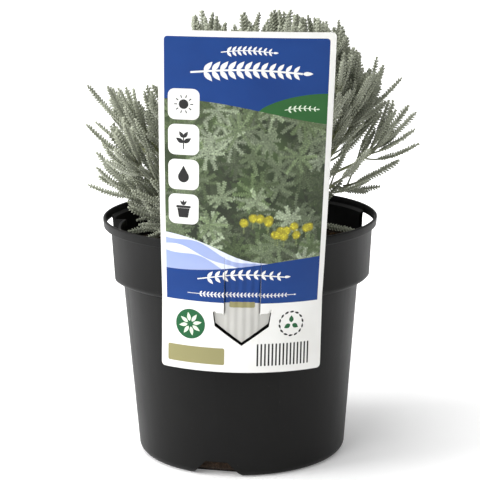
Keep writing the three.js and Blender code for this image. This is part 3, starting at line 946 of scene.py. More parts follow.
def pot_material():
    n = Nodes("black_moulded_plastic")
    grain = n.noise(1500, 3, 0.6)
    cloud = n.noise(22, 4, 0.6)
    dust = n.noise(420, 5, 0.75)
    scratch = n.noise(260, 3, 0.7, stretch=(1, 1, 0.06))
    colour = n.mix(n.ramp(cloud, (0.35, 0.0), (0.75, 1.0)), srgb(14, 14, 14), srgb(20, 20, 19))
    specks = n.ramp(dust, (0.68, 0.0), (0.76, 0.35))
    colour = n.mix(specks, colour, srgb(108, 104, 96))
    rough = n.math("MULTIPLY_ADD", cloud, 0.16, 0.32)
    rough = n.math("MULTIPLY_ADD", scratch, 0.1, rough)
    normal = n.bump(grain, 0.18, 0.0002)
    normal = n.bump(scratch, 0.08, 0.0003, normal)
    return n.finish(colour, rough, normal, specular_ior_level=0.14)


def soil_material():
    n = Nodes("potting_mix")
    tone = n.tones()[0]
    grain = n.noise(700, 5, 0.7)
    crumb = n.voronoi(520)
    dark = n.ramp(grain, (0.3, srgb(20, 15, 11)), (0.55, srgb(44, 33, 24)), (0.78, srgb(74, 58, 43)))
    light = n.ramp(grain, (0.3, srgb(58, 42, 28)), (0.7, srgb(112, 86, 60)))
    colour = n.mix(n.ramp(tone, (0.55, 0.0), (0.95, 0.8)), dark, light)
    normal = n.bump(n.math("ADD", grain, crumb), 0.8, 0.0012)
    return n.finish(colour, 0.95, normal, specular_ior_level=0.15)


def sheet_material(name, colour, second):
    n = Nodes(name)
    patch = n.noise(36, 3, 0.5)
    base = n.mix(n.ramp(patch, (0.4, 0.0), (0.7, 1.0)), colour, second)
    wave = n.noise(60, 2, 0.4, stretch=(1, 1, 0.3))
    fine = n.noise(2400, 2, 0.5)
    rough = n.math("MULTIPLY_ADD", fine, 0.12, 0.3)
    normal = n.bump(wave, 0.06, 0.001)
    return n.finish(base, rough, normal, specular_ior_level=0.22)


def picture_material():
    n = Nodes("printed_foliage")
    node = n.new("ShaderNodeAttribute", attribute_name="tone")
    fine = n.noise(3200, 2, 0.5)
    colour = n.mix(n.math("MULTIPLY", fine, 0.05), node.outputs["Color"], srgb(206, 212, 196))
    normal = n.bump(n.noise(60, 2, 0.4), 0.06, 0.001)
    return n.finish(colour, 0.36, normal, specular_ior_level=0.2)


# Pot

def arc(centre_radius, centre_height, radius, first, last, steps):
    out = []
    for i in range(steps + 1):
        a = math.radians(first + (last - first) * i / steps)
        out.append((centre_radius + radius * math.cos(a), centre_height + radius * math.sin(a)))
    return out


def disc(cx, cy, radius, steps=28):
    angles = [TURN * i / steps for i in range(steps)]
    return [(cx + radius * math.cos(a), cy + radius * math.sin(a)) for a in angles]


def body_radius(height):
    return FOOT_RADIUS + (BODY_RADIUS_AT_RIM - FOOT_RADIUS) * height / POT_HEIGHT


def closed_lathe(profile, sides=POT_SIDES):
    """A closed solid of revolution whose profile starts and ends on the axis, or is a loop."""
    profile = [(float(r), float(z)) for r, z in profile]
    angle = TURN * np.arange(sides) / sides
    points, rings = [], []
    for r, z in profile:
        if r < 1e-6:
            rings.append([len(points)])
            points.append((0, 0, z))
        else:
            rings.append(list(range(len(points), len(points) + sides)))
            points.extend(zip(r * np.cos(angle), r * np.sin(angle), np.full(sides, z)))
    loop = profile[0] == profile[-1] and profile[0][0] > 1e-6
    if loop:
        points = points[: -sides]
        rings[-1] = rings[0]
    faces = []
    for low, high in zip(rings[:-1], rings[1:]):
        for j in range(sides):
            k = (j + 1) % sides
            if len(low) == 1 and len(high) == 1:
                continue
            if len(low) == 1:
                faces.append((low[0], high[k], high[j]))
            elif len(high) == 1:
                faces.append((low[j], low[k], high[0]))
            else:
                faces.append((low[j], low[k], high[k], high[j]))
    return solid_object(points, faces)


def solid_object(points, faces):
    mesh = bpy.data.meshes.new("tool")
    mesh.from_pydata([tuple(c * MM for c in p) for p in points], [], faces)
    work = bmesh.new()
    work.from_mesh(mesh)
    bmesh.ops.recalc_face_normals(work, faces=work.faces)
    work.to_mesh(mesh)
    work.free()
    obj = bpy.data.objects.new("tool", mesh)
    bpy.context.scene.collection.objects.link(obj)
    return obj


def prism(low, high):
    """A closed solid between two rings of points."""
    quads, ends = prism_faces(len(low))
    return solid_object(low + high, ends + quads)


def combine(base, tool, operation):
    modifier = base.modifiers.new("cut", "BOOLEAN")
    modifier.operation = operation
    modifier.solver = "EXACT"
    modifier.object = tool
    bpy.context.view_layer.update()
    graph = bpy.context.evaluated_depsgraph_get()
    mesh = bpy.data.meshes.new_from_object(base.evaluated_get(graph))
    base.modifiers.clear()
    old = base.data
    base.data = mesh
    bpy.data.meshes.remove(old)
    spent = tool.data
    bpy.data.objects.remove(tool)
    bpy.data.meshes.remove(spent)
    return base


def wedge(middle, half_angle):
    reach = 1.5 * RIM_RADIUS
    corners = [(0, 0)]
    for a in (middle - half_angle, middle + half_angle):
        corners.append((reach * math.cos(math.radians(a)), reach * math.sin(math.radians(a))))
    top = POT_HEIGHT + 2 * CUT_MARGIN
    return prism([(x, y, 0) for x, y in corners], [(x, y, top) for x, y in corners])


def drain_notch(angle):
    slope = (NOTCH_FOOT_WIDTH - NOTCH_TOP_WIDTH) / 2 / NOTCH_HEIGHT
    half_foot = NOTCH_FOOT_WIDTH / 2 + slope * NOTCH_BELOW
    middle = NOTCH_TOP_WIDTH / 2 - NOTCH_CORNER_INSET
    outline = [(-half_foot, -NOTCH_BELOW), (half_foot, -NOTCH_BELOW)]
    outline += arc(middle, NOTCH_HEIGHT - NOTCH_CORNER, NOTCH_CORNER, 32, 90, 5)
    outline += [(-x, z) for x, z in outline[:1:-1]]
    c, s = math.cos(math.radians(angle)), math.sin(math.radians(angle))
    ends = [[(depth * c - x * s, depth * s + x * c, z) for x, z in outline]
            for depth in (NOTCH_INNER, FOOT_RADIUS + CUT_REACH)]
    return prism(*ends)


def drain_hole(angle):
    cx, cy = DRAIN_HOLE_CIRCLE * math.cos(angle), DRAIN_HOLE_CIRCLE * math.sin(angle)
    circle = disc(cx, cy, DRAIN_HOLE_RADIUS, DRAIN_HOLE_SIDES)
    return prism([(x, y, -CUT_REACH) for x, y in circle], [(x, y, 2 * CUT_REACH) for x, y in circle])


def pot_profile():
    rim_bottom = POT_HEIGHT - RIM_HEIGHT
    under_collar = body_radius(COLLAR_BOTTOM)
    collar_top = COLLAR_UPPER_RADIUS
    outside = [(0, 0)]
    outside += arc(body_radius(FOOT_ROUND) - FOOT_ROUND, FOOT_ROUND, FOOT_ROUND, -90, 0, 8)
    outside += [(under_collar, COLLAR_BOTTOM - COLLAR_FILLET), (under_collar + EDGE_ROUND, COLLAR_BOTTOM)]
    outside += arc(COLLAR_LOWER_RADIUS - COLLAR_ROUND, COLLAR_BOTTOM + COLLAR_ROUND, COLLAR_ROUND, -90, 0, 8)
    outside += [(collar_top, rim_bottom - EDGE_ROUND), (collar_top + RIM_FILLET, rim_bottom)]
    outside += arc(RIM_RADIUS - RIM_FLARE - EDGE_ROUND, rim_bottom + EDGE_ROUND, EDGE_ROUND, -90, 0, 3)
    outside += arc(RIM_RADIUS - LIP_ROUND, POT_HEIGHT - LIP_ROUND, LIP_ROUND, 0, 90, 5)
    lip = INNER_LIP_ROUND
    inner_lip = arc(RIM_INNER_RADIUS + lip, POT_HEIGHT - lip, lip, 90, 180, 3)
    collar_floor = COLLAR_BOTTOM + WALL
    inside = [
        (RIM_INNER_RADIUS, rim_bottom + WALL),
        (COLLAR_UPPER_RADIUS - WALL, rim_bottom),
        (COLLAR_LOWER_RADIUS - WALL, COLLAR_BOTTOM + COLLAR_ROUND),
        (COLLAR_LOWER_RADIUS - COLLAR_ROUND, collar_floor),
        (body_radius(collar_floor) - WALL, collar_floor),
        (body_radius(FOOT_ROUND) - WALL, FOOT_ROUND),
        (body_radius(FOOT_ROUND) - FOOT_ROUND, WALL),
        (0, WALL),
    ]
    return outside + inner_lip + inside


def slot_block_profile():
    """The walls round a label slot, seen in section, before its space is cut out."""
    low = COLLAR_BOTTOM - WALL
    skin = WALL / 3
    return [
        (body_radius(low) - WALL, low),
        (body_radius(low) - skin, low),
        (body_radius(COLLAR_BOTTOM) - skin, COLLAR_BOTTOM),
        (COLLAR_LOWER_RADIUS - COLLAR_ROUND, COLLAR_BOTTOM + 0.05),
        (COLLAR_LOWER_RADIUS - skin, COLLAR_BOTTOM + COLLAR_ROUND),
        (COLLAR_UPPER_RADIUS - skin, PANEL_TOP),
        (body_radius(PANEL_TOP) - WALL, PANEL_TOP),
        (body_radius(low) - WALL, low),
    ]


def slot_space_profile():
    """The space of a label slot, seen in section: open below, outside and above."""
    rim_bottom = POT_HEIGHT - RIM_HEIGHT
    low = COLLAR_BOTTOM - CUT_MARGIN
    top = POT_HEIGHT + CUT_MARGIN
    return [
        (body_radius(low) + HAIR, low),
        (RIM_RADIUS + CUT_MARGIN, low),
        (RIM_RADIUS + CUT_MARGIN, rim_bottom),
        (RIM_INNER_RADIUS, rim_bottom),
        (RIM_INNER_RADIUS, top),
        (body_radius(PANEL_TOP) + HAIR, top),
        (body_radius(PANEL_TOP) + HAIR, PANEL_TOP),
        (body_radius(low) + HAIR, low),
    ]


def build_pot(material):
    pot = closed_lathe(pot_profile())
    end_wall = math.degrees(WALL / COLLAR_LOWER_RADIUS)
    for i in range(SLOT_COUNT):
        angle = FIRST_SLOT_ANGLE + 360 / SLOT_COUNT * i
        sector = wedge(angle, SLOT_HALF_ANGLE + end_wall)
        block = combine(closed_lathe(slot_block_profile()), sector, "INTERSECT")
        pot = combine(pot, block, "UNION")
        space = combine(closed_lathe(slot_space_profile()), wedge(angle, SLOT_HALF_ANGLE), "INTERSECT")
        pot = combine(pot, space, "DIFFERENCE")
    for i in range(NOTCH_COUNT):
        pot = combine(pot, drain_notch(FIRST_NOTCH_ANGLE + 360 / NOTCH_COUNT * i), "DIFFERENCE")
    for i in range(DRAIN_HOLE_COUNT):
        pot = combine(pot, drain_hole(TURN * i / DRAIN_HOLE_COUNT), "DIFFERENCE")
    shade_by_angle(pot, SHARP_ANGLE)
    pot.name = "nursery_pot"
    pot.data.name = "nursery_pot"
    pot.data.materials.clear()
    pot.data.materials.append(material)
    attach(pot, "root")
    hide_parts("pot")


def shade_by_angle(obj, degrees):
    work = bmesh.new()
    work.from_mesh(obj.data)
    bmesh.ops.remove_doubles(work, verts=work.verts, dist=1e-6)
    limit = math.radians(degrees)
    for edge in work.edges:
        if len(edge.link_faces) == 2:
            edge.smooth = edge.calc_face_angle(0) < limit
    for face in work.faces:
        face.smooth = True
        face.material_index = 0
    work.to_mesh(obj.data)
    work.free()


# Potting mix: a crumbly surface with chips of bark in it

def wave_height(x, y, draws):
    height = np.zeros_like(x)
    for turns, heading, phase, size in draws:
        height += size * np.sin(turns * (x * math.cos(heading) + y * math.sin(heading)) + phase)
    return height


def slot_distance(angle):
    """Angle from here to the middle of the nearest label slot."""
    middles = np.radians(FIRST_SLOT_ANGLE + 360 / SLOT_COUNT * np.arange(SLOT_COUNT))
    away = (np.asarray(angle)[..., None] - middles + math.pi) % TURN - math.pi
    return np.abs(away).min(-1)


def build_soil(material):
    draw = seeded_random(SOIL_SEED)
    waves = []
    for i in range(SOIL_WAVES):
        turns = 0.1 + 1.6 * (i / SOIL_WAVES) ** 1.5
        waves.append((turns, TURN * draw(), TURN * draw(), 0.9 / (1 + 0.5 * i)))
    shell = Shell()
    edge = COLLAR_LOWER_RADIUS - WALL - TOUCH_GAP - SOIL_EDGE_GAP
    panel = body_radius(SOIL_TOP) - WALL - 2 * TOUCH_GAP
    angle = ring_angles(SOIL_SIDES)
    by_slot = slot_distance(angle) < math.radians(SLOT_HALF_ANGLE + PANEL_CLEAR_ANGLE)
    reach = np.where(by_slot, panel, edge)
    surface = []
    for ring in range(SOIL_RINGS, 0, -1):
        r = reach * ring / SOIL_RINGS
        x, y = r * np.cos(angle), r * np.sin(angle)
        z = SOIL_TOP + SOIL_LUMP * wave_height(x, y, waves)
        surface.append(np.stack([x, y, z], -1))
    top = np.concatenate(surface + [[vec(0, 0, SOIL_TOP)]])
    shell.add(top, (0.3, 0, 0), [band_faces(SOIL_RINGS, SOIL_SIDES), end_fan(SOIL_RINGS, SOIL_SIDES)])
    lower = [surface[0]]
    x, y = surface[0][:, 0], surface[0][:, 1]
    for height, inset in SOIL_UNDER:
        widest = body_radius(height) - WALL - 2 * TOUCH_GAP
        scale = min(edge - inset, widest) / np.hypot(x, y)
        lower.append(np.stack([x * scale, y * scale, np.full(SOIL_SIDES, height)], -1))
    bottom = [list(range(SOIL_SIDES))[::-1]]
    shell.add(np.concatenate(lower[::-1]), (0.2, 0, 0), [band_faces(len(lower), SOIL_SIDES), bottom])
    for _ in range(CHIP_COUNT):
        r = (edge - 4) * math.sqrt(draw())
        a = TURN * draw()
        if slot_distance(a) < 0.35 and r > panel - 4:
            continue
        x, y = r * math.cos(a), r * math.sin(a)
        z = SOIL_TOP + SOIL_LUMP * float(wave_height(np.array(x), np.array(y), waves))
        add_chip(shell, vec(x, y, z + 0.15), 1.0 + 3.6 * draw() ** 2, draw)
    obj = shell.build("potting_mix", [material], smooth=False)
    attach(obj, "root")
    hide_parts("soil")


def add_chip(shell, centre, size, draw):
    """An irregular six-sided flake, lying at a slant."""
    spin = Matrix.Rotation(TURN * draw(), 3, "Z")
    for axis in "XY":
        spin = spin @ Matrix.Rotation(0.9 * (draw() - 0.5), 3, axis)
    width = size * (0.4 + 0.4 * draw())
    thick = size * (0.18 + 0.2 * draw())
    outline = []
    for i in range(CHIP_SIDES):
        a = TURN * i / CHIP_SIDES
        k = 0.75 + 0.4 * draw()
        outline.append((size / 2 * k * math.cos(a), width / 2 * k * math.sin(a)))
    low = [(x, y, -thick / 2) for x, y in outline]
    high = [(0.8 * x + 0.1 * draw(), 0.8 * y, thick / 2) for x, y in outline]
    points = np.array(low + high) @ np.array(spin).T + centre
    shell.add(points, (draw(), 0, 0), prism_faces(CHIP_SIDES))


# Label: one sheet, its print made of faces of different materials

def label_bend(along):
    share = np.maximum(0, along - BEND_START) / (LABEL_LENGTH - BEND_START)
    return BEND_AT_FOOT + (BEND_AT_TOP - BEND_AT_FOOT) * share


def label_points(across, along, outward):
    bend = label_bend(along)
    radius = 1 / bend
    lean = math.radians(LABEL_LEAN)
    x = (radius + outward) * np.sin(across * bend)
    y = -LABEL_FOOT_FRONT - along * math.sin(lean) + radius - (radius + outward) * np.cos(across * bend)
    z = LABEL_FOOT_HEIGHT + along * math.cos(lean) - LABEL_TILT_HEIGHT
    c, s = math.cos(math.radians(LABEL_TILT)), math.sin(math.radians(LABEL_TILT))
    return np.stack([c * x + s * z + LABEL_ASIDE, y, c * z - s * x + LABEL_TILT_HEIGHT], -1)


def tongue_outward(along):
    share = np.clip((STRAP_TOP - along) / (STRAP_TOP - TONGUE_SETTLED), 0, 1)
    return -TONGUE_DEPTH * share * share * (3 - 2 * share)


def arrow_outline(grow, drop, top):
    strap, head, barb = STRAP_WIDTH / 2 + grow, ARROW_WIDTH / 2 + grow, 1
    return [
        (-strap, top), (-strap, ARROW_SHOULDER), (-head, ARROW_SHOULDER + barb),
        (-head + barb, ARROW_SIDE - drop), (0, ARROW_TIP - drop), (head - barb, ARROW_SIDE - drop),
        (head, ARROW_SHOULDER + barb), (strap, ARROW_SHOULDER), (strap, top),
    ]


def rounded_box(left, bottom, right, top, radius, steps=5):
    """Corners in order: lower right, upper right, upper left, lower left."""
    out = []
    for x, y, first in ((right - radius, bottom + radius, -90), (right - radius, top - radius, 0),
                        (left + radius, top - radius, 90), (left + radius, bottom + radius, 180)):
        out += arc(x, y, radius, first, first + 90, steps)
    return out


def leaflet(x, y, angle, length, width, steps=6):
    """Pointed oval with its root at (x, y)."""
    c, s = math.cos(angle), math.sin(angle)
    places = [i / steps for i in range(steps + 1)]
    side = [(length * t, width / 2 * math.sin(math.pi * t ** 0.8)) for t in places]
    loop = side + [(a, -b) for a, b in side[-2:0:-1]]
    return [(x + a * c - b * s, y + a * s + b * c) for a, b in loop]


def whorl(x, y, radius, count, first, turn, length, width, colour):
    """Leaflets on a circle, each turned by the same angle from the way out of it."""
    shapes = []
    for i in range(count):
        a = TURN * i / count + first
        root = (x + radius * math.cos(a), y + radius * math.sin(a))
        shapes.append((leaflet(*root, a + turn, length, width), colour))
    return shapes


def strip(points, width):
    """A thin ribbon along a row of points."""
    points = np.array(points, float)
    step = unit(np.gradient(points, axis=0))
    side = np.stack([-step[:, 1], step[:, 0]], -1) * width / 2
    return [tuple(p) for p in np.concatenate([points + side, (points - side)[::-1]])]


def sprig(x, y, length, angle, size, colour, pairs, bend):
    """A stalk with pairs of leaflets along it, as outlines of one colour."""
    c, s = math.cos(angle), math.sin(angle)

    def stalk(t):
        rise = length * bend * math.sin(math.pi * t)
        return x + length * t * c - rise * s, y + length * t * s + rise * c

    line = [stalk(t) for t in np.linspace(0, 1, 9)]
    outlines = [strip(line, 0.14 * size)]
    for i in range(pairs):
        t = 0.12 + 0.8 * i / max(1, pairs - 1)
        px, py = stalk(t)
        k = size * (1 - 0.35 * t)
        for side in (-1, 1):
            root = (px - 0.12 * side * s, py + 0.12 * side * c)
            outlines.append(leaflet(*root, angle + side * 0.85, k, 0.42 * k))
    outlines.append(leaflet(*line[-1], angle, 0.8 * size, 0.32 * size))
    return [(outline, colour) for outline in outlines]


def header_edge(u):
    return 128.6 + 5.0 * np.cos((u + 30) * 0.036) - 0.035 * u


def picture_foot(u):
    return 61.0 - 7.5 * np.tanh((u + 8) / 15) + 0.9 * np.sin(u / 9)


def band_top(u):
    return 54.5 + 3.6 * np.sin((u - 6) / 26)


def in_picture(u, v):
    return picture_foot(u) < v < header_edge(u) and PRINT_LEFT < u < PRINT_RIGHT


def level(height):
    return lambda u: height + 0 * u


def wavy(shift):
    return lambda u: picture_foot(u) - 1.6 + shift + 1.1 * np.sin(u / 4.6 + shift)


def between(low, high, left=PRINT_LEFT, right=PRINT_RIGHT, steps=44):
    u = np.linspace(left, right, steps)
    return [(a, low(a)) for a in u] + [(a, high(a)) for a in u[::-1]]


def header_outline():
    """Curved below, with the two upper corners of a rounded box."""
    lower = [(a, header_edge(a)) for a in np.linspace(PRINT_LEFT, PRINT_RIGHT, 44)]
    return lower + rounded_box(PRINT_LEFT, 150, PRINT_RIGHT, 164.2, 1.6)[6:18]


def swoosh_top(u):
    share = (u - SWOOSH_START) / (PRINT_RIGHT - SWOOSH_START)
    return header_edge(SWOOSH_START) + 8.4 * math.sin(math.pi / 2 * share ** 0.75)


def label_shapes():
    """Outlines of the print in order, each covering the ones before it."""
    shapes = [
        (between(level(40), level(140), steps=2), "picture"),
        (between(level(50), picture_foot), "mist"),
        (between(level(50), wavy(0.0), right=14), "haze"),
        (between(level(50), wavy(-4.2), right=14), "mist"),
        (between(level(50), wavy(-6.6), right=14), "haze"),
        (between(level(BAND_BOTTOM), band_top), "blue"),
        (header_outline(), "blue"),
        (between(header_edge, swoosh_top, SWOOSH_START, steps=20), "green"),
    ]
    shapes += sprig(-26, 147.5, 52, 0, 6.2, "white", 12, 0.03)
    shapes += sprig(-12, 157.2, 24, 0, 3.2, "white", 9, 0.04)
    shapes += sprig(18, header_edge(24) + 4.4, 15, 0.02, 2.2, "pale", 6, 0.05)
    shapes += sprig(-22, 46.8, 42, 0.04, 4.2, "white", 10, 0.05)
    shapes += sprig(-27, 39.4, 52, 0.0, 1.9, "white", 24, 0.0)
    for draw_sign, top in ((sun, 139.6), (seedling, 122.6), (drop, 105.6), (potted, 88.6)):
        shapes.append((rounded_box(-36.6, top - 14.8, -21.6, top, 3.2), "white"))
        shapes += [(outline, "ink") for outline in draw_sign(-29.1, top - 7.4)]
    shapes.append((disc(-25.5, 23.5, 7.6, 40), "deep_green"))
    shapes += whorl(-25.5, 23.5, 1.4, 8, 0.2, 0, 4.6, 1.9, "pale")
    for i in range(15):
        x = 7.4 + 1.84 * i
        shapes.append((rounded_box(x, 3.4, x + 0.84, 14.8, 0.15, 1), "ink"))
    shapes.append((rounded_box(-37.4, 3.6, -8.2, 12.2, 0.9), "olive"))
    shapes += whorl(24.4, 24.6, 6.3, 14, 0, 1.9, 2.5, 1.0, "ink")
    shapes += whorl(24.4, 24.6, 0.6, 3, math.pi / 2, 0, 3.6, 2.4, "deep_green")
    return shapes


def tongue_shapes():
    return [(rounded_box(-6.3, 33.0, 6.3, 35.9, 0.6), "olive")]


def sun(x, y):
    outlines = [disc(x, y, 2.3)]
    for i in range(10):
        a = TURN * i / 10
        outlines.append(strip([(x + r * math.cos(a), y + r * math.sin(a)) for r in (3.1, 3.8, 4.5)], 0.5))
    return outlines


def seedling(x, y):
    outlines = [strip([(x, y - 4.6), (x, y - 1.5), (x, y + 1.5)], 0.55)]
    for side in (-1, 1):
        outlines.append(leaflet(x, y - 1.6, math.pi / 2 + side * 1.0, 4.4, 2.2))
        outlines.append(leaflet(x, y + 0.8, math.pi / 2 + side * 0.6, 3.8, 1.8))
    return outlines


def drop(x, y):
    lower = [(x + 2.7 * math.sin(a), y - 1.2 - 2.7 * math.cos(a)) for a in np.linspace(-2.2, 2.2, 19)]
    return [lower + [(x, y + 4.4)]]


def potted(x, y):
    body = [(x - 2.3, y - 4.2), (x + 2.3, y - 4.2), (x + 3.1, y + 0.4), (x - 3.1, y + 0.4)]
    leaves = [leaflet(x, y + 1.8, math.pi / 2 + turn, 2.9, 1.1) for turn in (-0.6, 0, 0.6)]
    return [body, rounded_box(x - 3.6, y + 0.5, x + 3.6, y + 1.7, 0.3, 1)] + leaves


def divided(outline, longest):
    """The outline with points added, so that no edge is longer than the given length."""
    out = []
    for (ax, ay), (bx, by) in zip(outline, list(outline[1:]) + [outline[0]]):
        count = max(1, math.ceil(math.hypot(bx - ax, by - ay) / longest))
        out += [(ax + (bx - ax) * i / count, ay + (by - ay) * i / count) for i in range(count)]
    return out


def inside_outline(points, outline):
    outline = np.array(outline, float)
    inside = np.zeros(len(points), bool)
    in_box = (points >= outline.min(0)) & (points <= outline.max(0))
    near = np.flatnonzero(in_box.all(1))
    px, py = points[near].T
    hit = np.zeros(len(near), bool)
    for (ax, ay), (bx, by) in zip(outline, np.roll(outline, -1, 0)):
        if ay != by:
            hit ^= ((ay > py) != (by > py)) & (px < (bx - ax) * (py - ay) / (by - ay) + ax)
    inside[near] = hit
    return inside


class Canvas:
    """The ground of the printed picture, on which strokes with round ends are drawn."""

    def __init__(self, left, low, right, high):
        self.corner = np.array([left, low])
        columns, rows = int((right - left) / CANVAS_STEP), int((high - low) / CANVAS_STEP)
        self.last = np.array([columns - 1, rows - 1])
        y, x = np.mgrid[0:rows, 0:columns]
        self.x = left + x * CANVAS_STEP
        self.y = low + y * CANVAS_STEP
        self.colours = np.empty((rows, columns, 3))

    def cells(self, low, high, corner, radius, last):
        first = max(int((low - radius - corner) / CANVAS_STEP), 0)
        return slice(first, max(int((high + radius - corner) / CANVAS_STEP) + 2, 0)), first > last

    def stroke(self, ax, ay, bx, by, radius, colour):
        across, past_right = self.cells(min(ax, bx), max(ax, bx), self.corner[0], radius, self.last[0])
        up, past_top = self.cells(min(ay, by), max(ay, by), self.corner[1], radius, self.last[1])
        if past_right or past_top:
            return
        x, y = self.x[up, across], self.y[up, across]
        dx, dy = bx - ax, by - ay
        t = np.clip(((x - ax) * dx + (y - ay) * dy) / (dx * dx + dy * dy + 1e-9), 0, 1)
        d = np.hypot(x - ax - t * dx, y - ay - t * dy)
        cover = np.clip((radius - d) / CANVAS_STEP + 0.5, 0, 1)[..., None]
        lit = np.clip(1.08 - 0.35 * d / radius, 0, 1.2)[..., None]
        self.colours[up, across] += cover * (colour * lit - self.colours[up, across])

    def linear_colours(self, points):
        place = ((points - self.corner) / CANVAS_STEP).astype(int)
        u, v = np.clip(place, 0, self.last).T
        rgb = np.clip(self.colours[v, u] / 255, 0, 1)
        return np.where(rgb <= 0.04045, rgb / 12.92, ((rgb + 0.055) / 1.055) ** 2.4)


def paint_foliage(points):
    """Colours of the printed picture: many small felted sprigs over dark ground, and yellow buttons."""
    left, low, right, high = PRINT_LEFT - 1, 44.0, PRINT_RIGHT + 1, 141.0
    canvas = Canvas(left, low, right, high)
    draw = seeded_random(PICTURE_SEED)
    gx, gy = canvas.x, canvas.y
    shade = 0.5 + 0.5 * np.sin(gx / 7 + 1.3 * np.sin(gy / 9)) * np.cos(gy / 6 + np.sin(gx / 5))
    dark, mid = np.array([20, 28, 14.0]), np.array([62, 80, 44.0])
    canvas.colours[:] = dark + (mid - dark) * shade[..., None]
    base = np.array([92, 114, 66.0])
    light = np.array([206, 220, 190.0])
    strokes = WHORL_COUNT * WHORL_BLADES
    for number in range(strokes):
        depth = number / strokes
        if number % WHORL_BLADES == 0:
            x = left + (right - left) * draw()
            y = low + (high - low) * draw()
            facing = TURN * draw()
            whorl_size = 5.5 + 4.5 * draw()
            whorl_light = draw()
        angle = facing + TURN * (number % WHORL_BLADES) / WHORL_BLADES + 0.5 * (draw() - 0.5)
        length = whorl_size * (0.7 + 0.5 * draw())
        tint = base * (0.45 + 0.55 * depth) + (light - base) * (0.1 + 0.9 * depth) * whorl_light
        tint = tint * (0.86 + 0.24 * draw())
        paint_sprig(canvas, x, y, angle, 0.7 * (draw() - 0.5), length, tint)
    for _ in range(5):
        x, y = 3 + 27 * draw(), 68 + 9 * draw()
        for _ in range(3):
            paint_button(canvas, x + 5.2 * (draw() - 0.5) * 2, y + 3 * (draw() - 0.5) * 2, draw)
    return canvas.linear_colours(points)


def paint_sprig(canvas, x, y, angle, bend, length, tint):
    steps = 8
    for k in range(1, steps + 1):
        a = angle + bend * k / steps
        ahead_x = x + length / steps * math.cos(a)
        ahead_y = y + length / steps * math.sin(a)
        canvas.stroke(x, y, ahead_x, ahead_y, 0.5, tint * 0.9)
        x, y = ahead_x, ahead_y
        if k > 1:
            for b in (a - 0.95, a + 0.95):
                canvas.stroke(x, y, x + 0.9 * math.cos(b), y + 0.9 * math.sin(b), 0.3, tint)


def paint_button(canvas, x, y, draw):
    canvas.stroke(x, y - 5, x, y, 0.3, np.array([120, 132, 84.0]))
    canvas.stroke(x, y, x + 0.1, y, 2.1, np.array([188, 176, 40.0]))
    for _ in range(26):
        a, r = TURN * draw(), 1.7 * math.sqrt(draw())
        bright = 0.86 + 0.3 * draw()
        px, py = x + r * math.cos(a), y + r * math.sin(a)
        canvas.stroke(px, py, px + 0.05, py, 0.3, np.array([214, 204, 52.0]) * bright)


def sheet_points(outlines):
    """Points and edges of the outlines, and points strewn between them for an even sheet."""
    points, edges = [], []
    for outline in outlines:
        ring = divided(outline, LONGEST_EDGE)
        first = len(points)
        points += [(float(a), float(b)) for a, b in ring]
        edges += [(first + i, first + (i + 1) % len(ring)) for i in range(len(ring))]
    draw = seeded_random(SHEET_SEED)

    def scatter(left, low, right, high, pitch, keep):
        row = 0
        y = low
        while y < high:
            x = left + (pitch / 2 if row % 2 else 0)
            while x < right:
                if keep(x, y):
                    points.append((x + 0.12 * pitch * (draw() - 0.5), y + 0.12 * pitch * (draw() - 0.5)))
                x += pitch
            y += pitch * 0.87
            row += 1

    edge = LABEL_WIDTH / 2
    beside = STRAP_WIDTH / 2 + 4.5
    scatter(PRINT_LEFT + 0.3, 48, PRINT_RIGHT - 0.2, 136, 0.56, in_picture)
    scatter(-edge + 1, 1, edge - 0.5, LABEL_LENGTH - 0.5, 2.6, lambda x, y: not in_picture(x, y))
    scatter(-beside, ARROW_TIP - 2, beside, STRAP_TOP + 10, 0.75, lambda x, y: True)
    return points, edges


def print_kinds(middle, on_tongue, shapes, marks, names):
    """Number of the material of each face."""
    kind = np.full(len(middle), names.index("white"))
    for outline, colour in shapes:
        kind[inside_outline(middle, outline)] = names.index(colour)
    # Painted shade: the tongue below the band is given the grey strap sheet, as shade on the part sunk
    # behind the label.
    kind[on_tongue & (middle[:, 1] < BAND_BOTTOM)] = names.index("strap")
    for outline, colour in marks:
        kind[inside_outline(middle, outline)] = names.index(colour)
    return kind


def sheet_outward(flat, on_tongue):
    """How far each point stands off the bent sheet: the tongue sinks in, and ribs run along it."""
    u, v = flat.T
    outward = np.where(on_tongue, tongue_outward(v), 0)
    ribs = 0.5 + 0.5 * np.cos(u * TURN / RIB_PITCH)
    fade = np.clip((STRAP_TOP + 8 - v) / 14, 0, 1) * np.clip((STRAP_WIDTH / 2 - np.abs(u)) / 0.8, 0, 1)
    return outward + RIB_HEIGHT * ribs * fade * np.where(on_tongue, 1, 0.4)


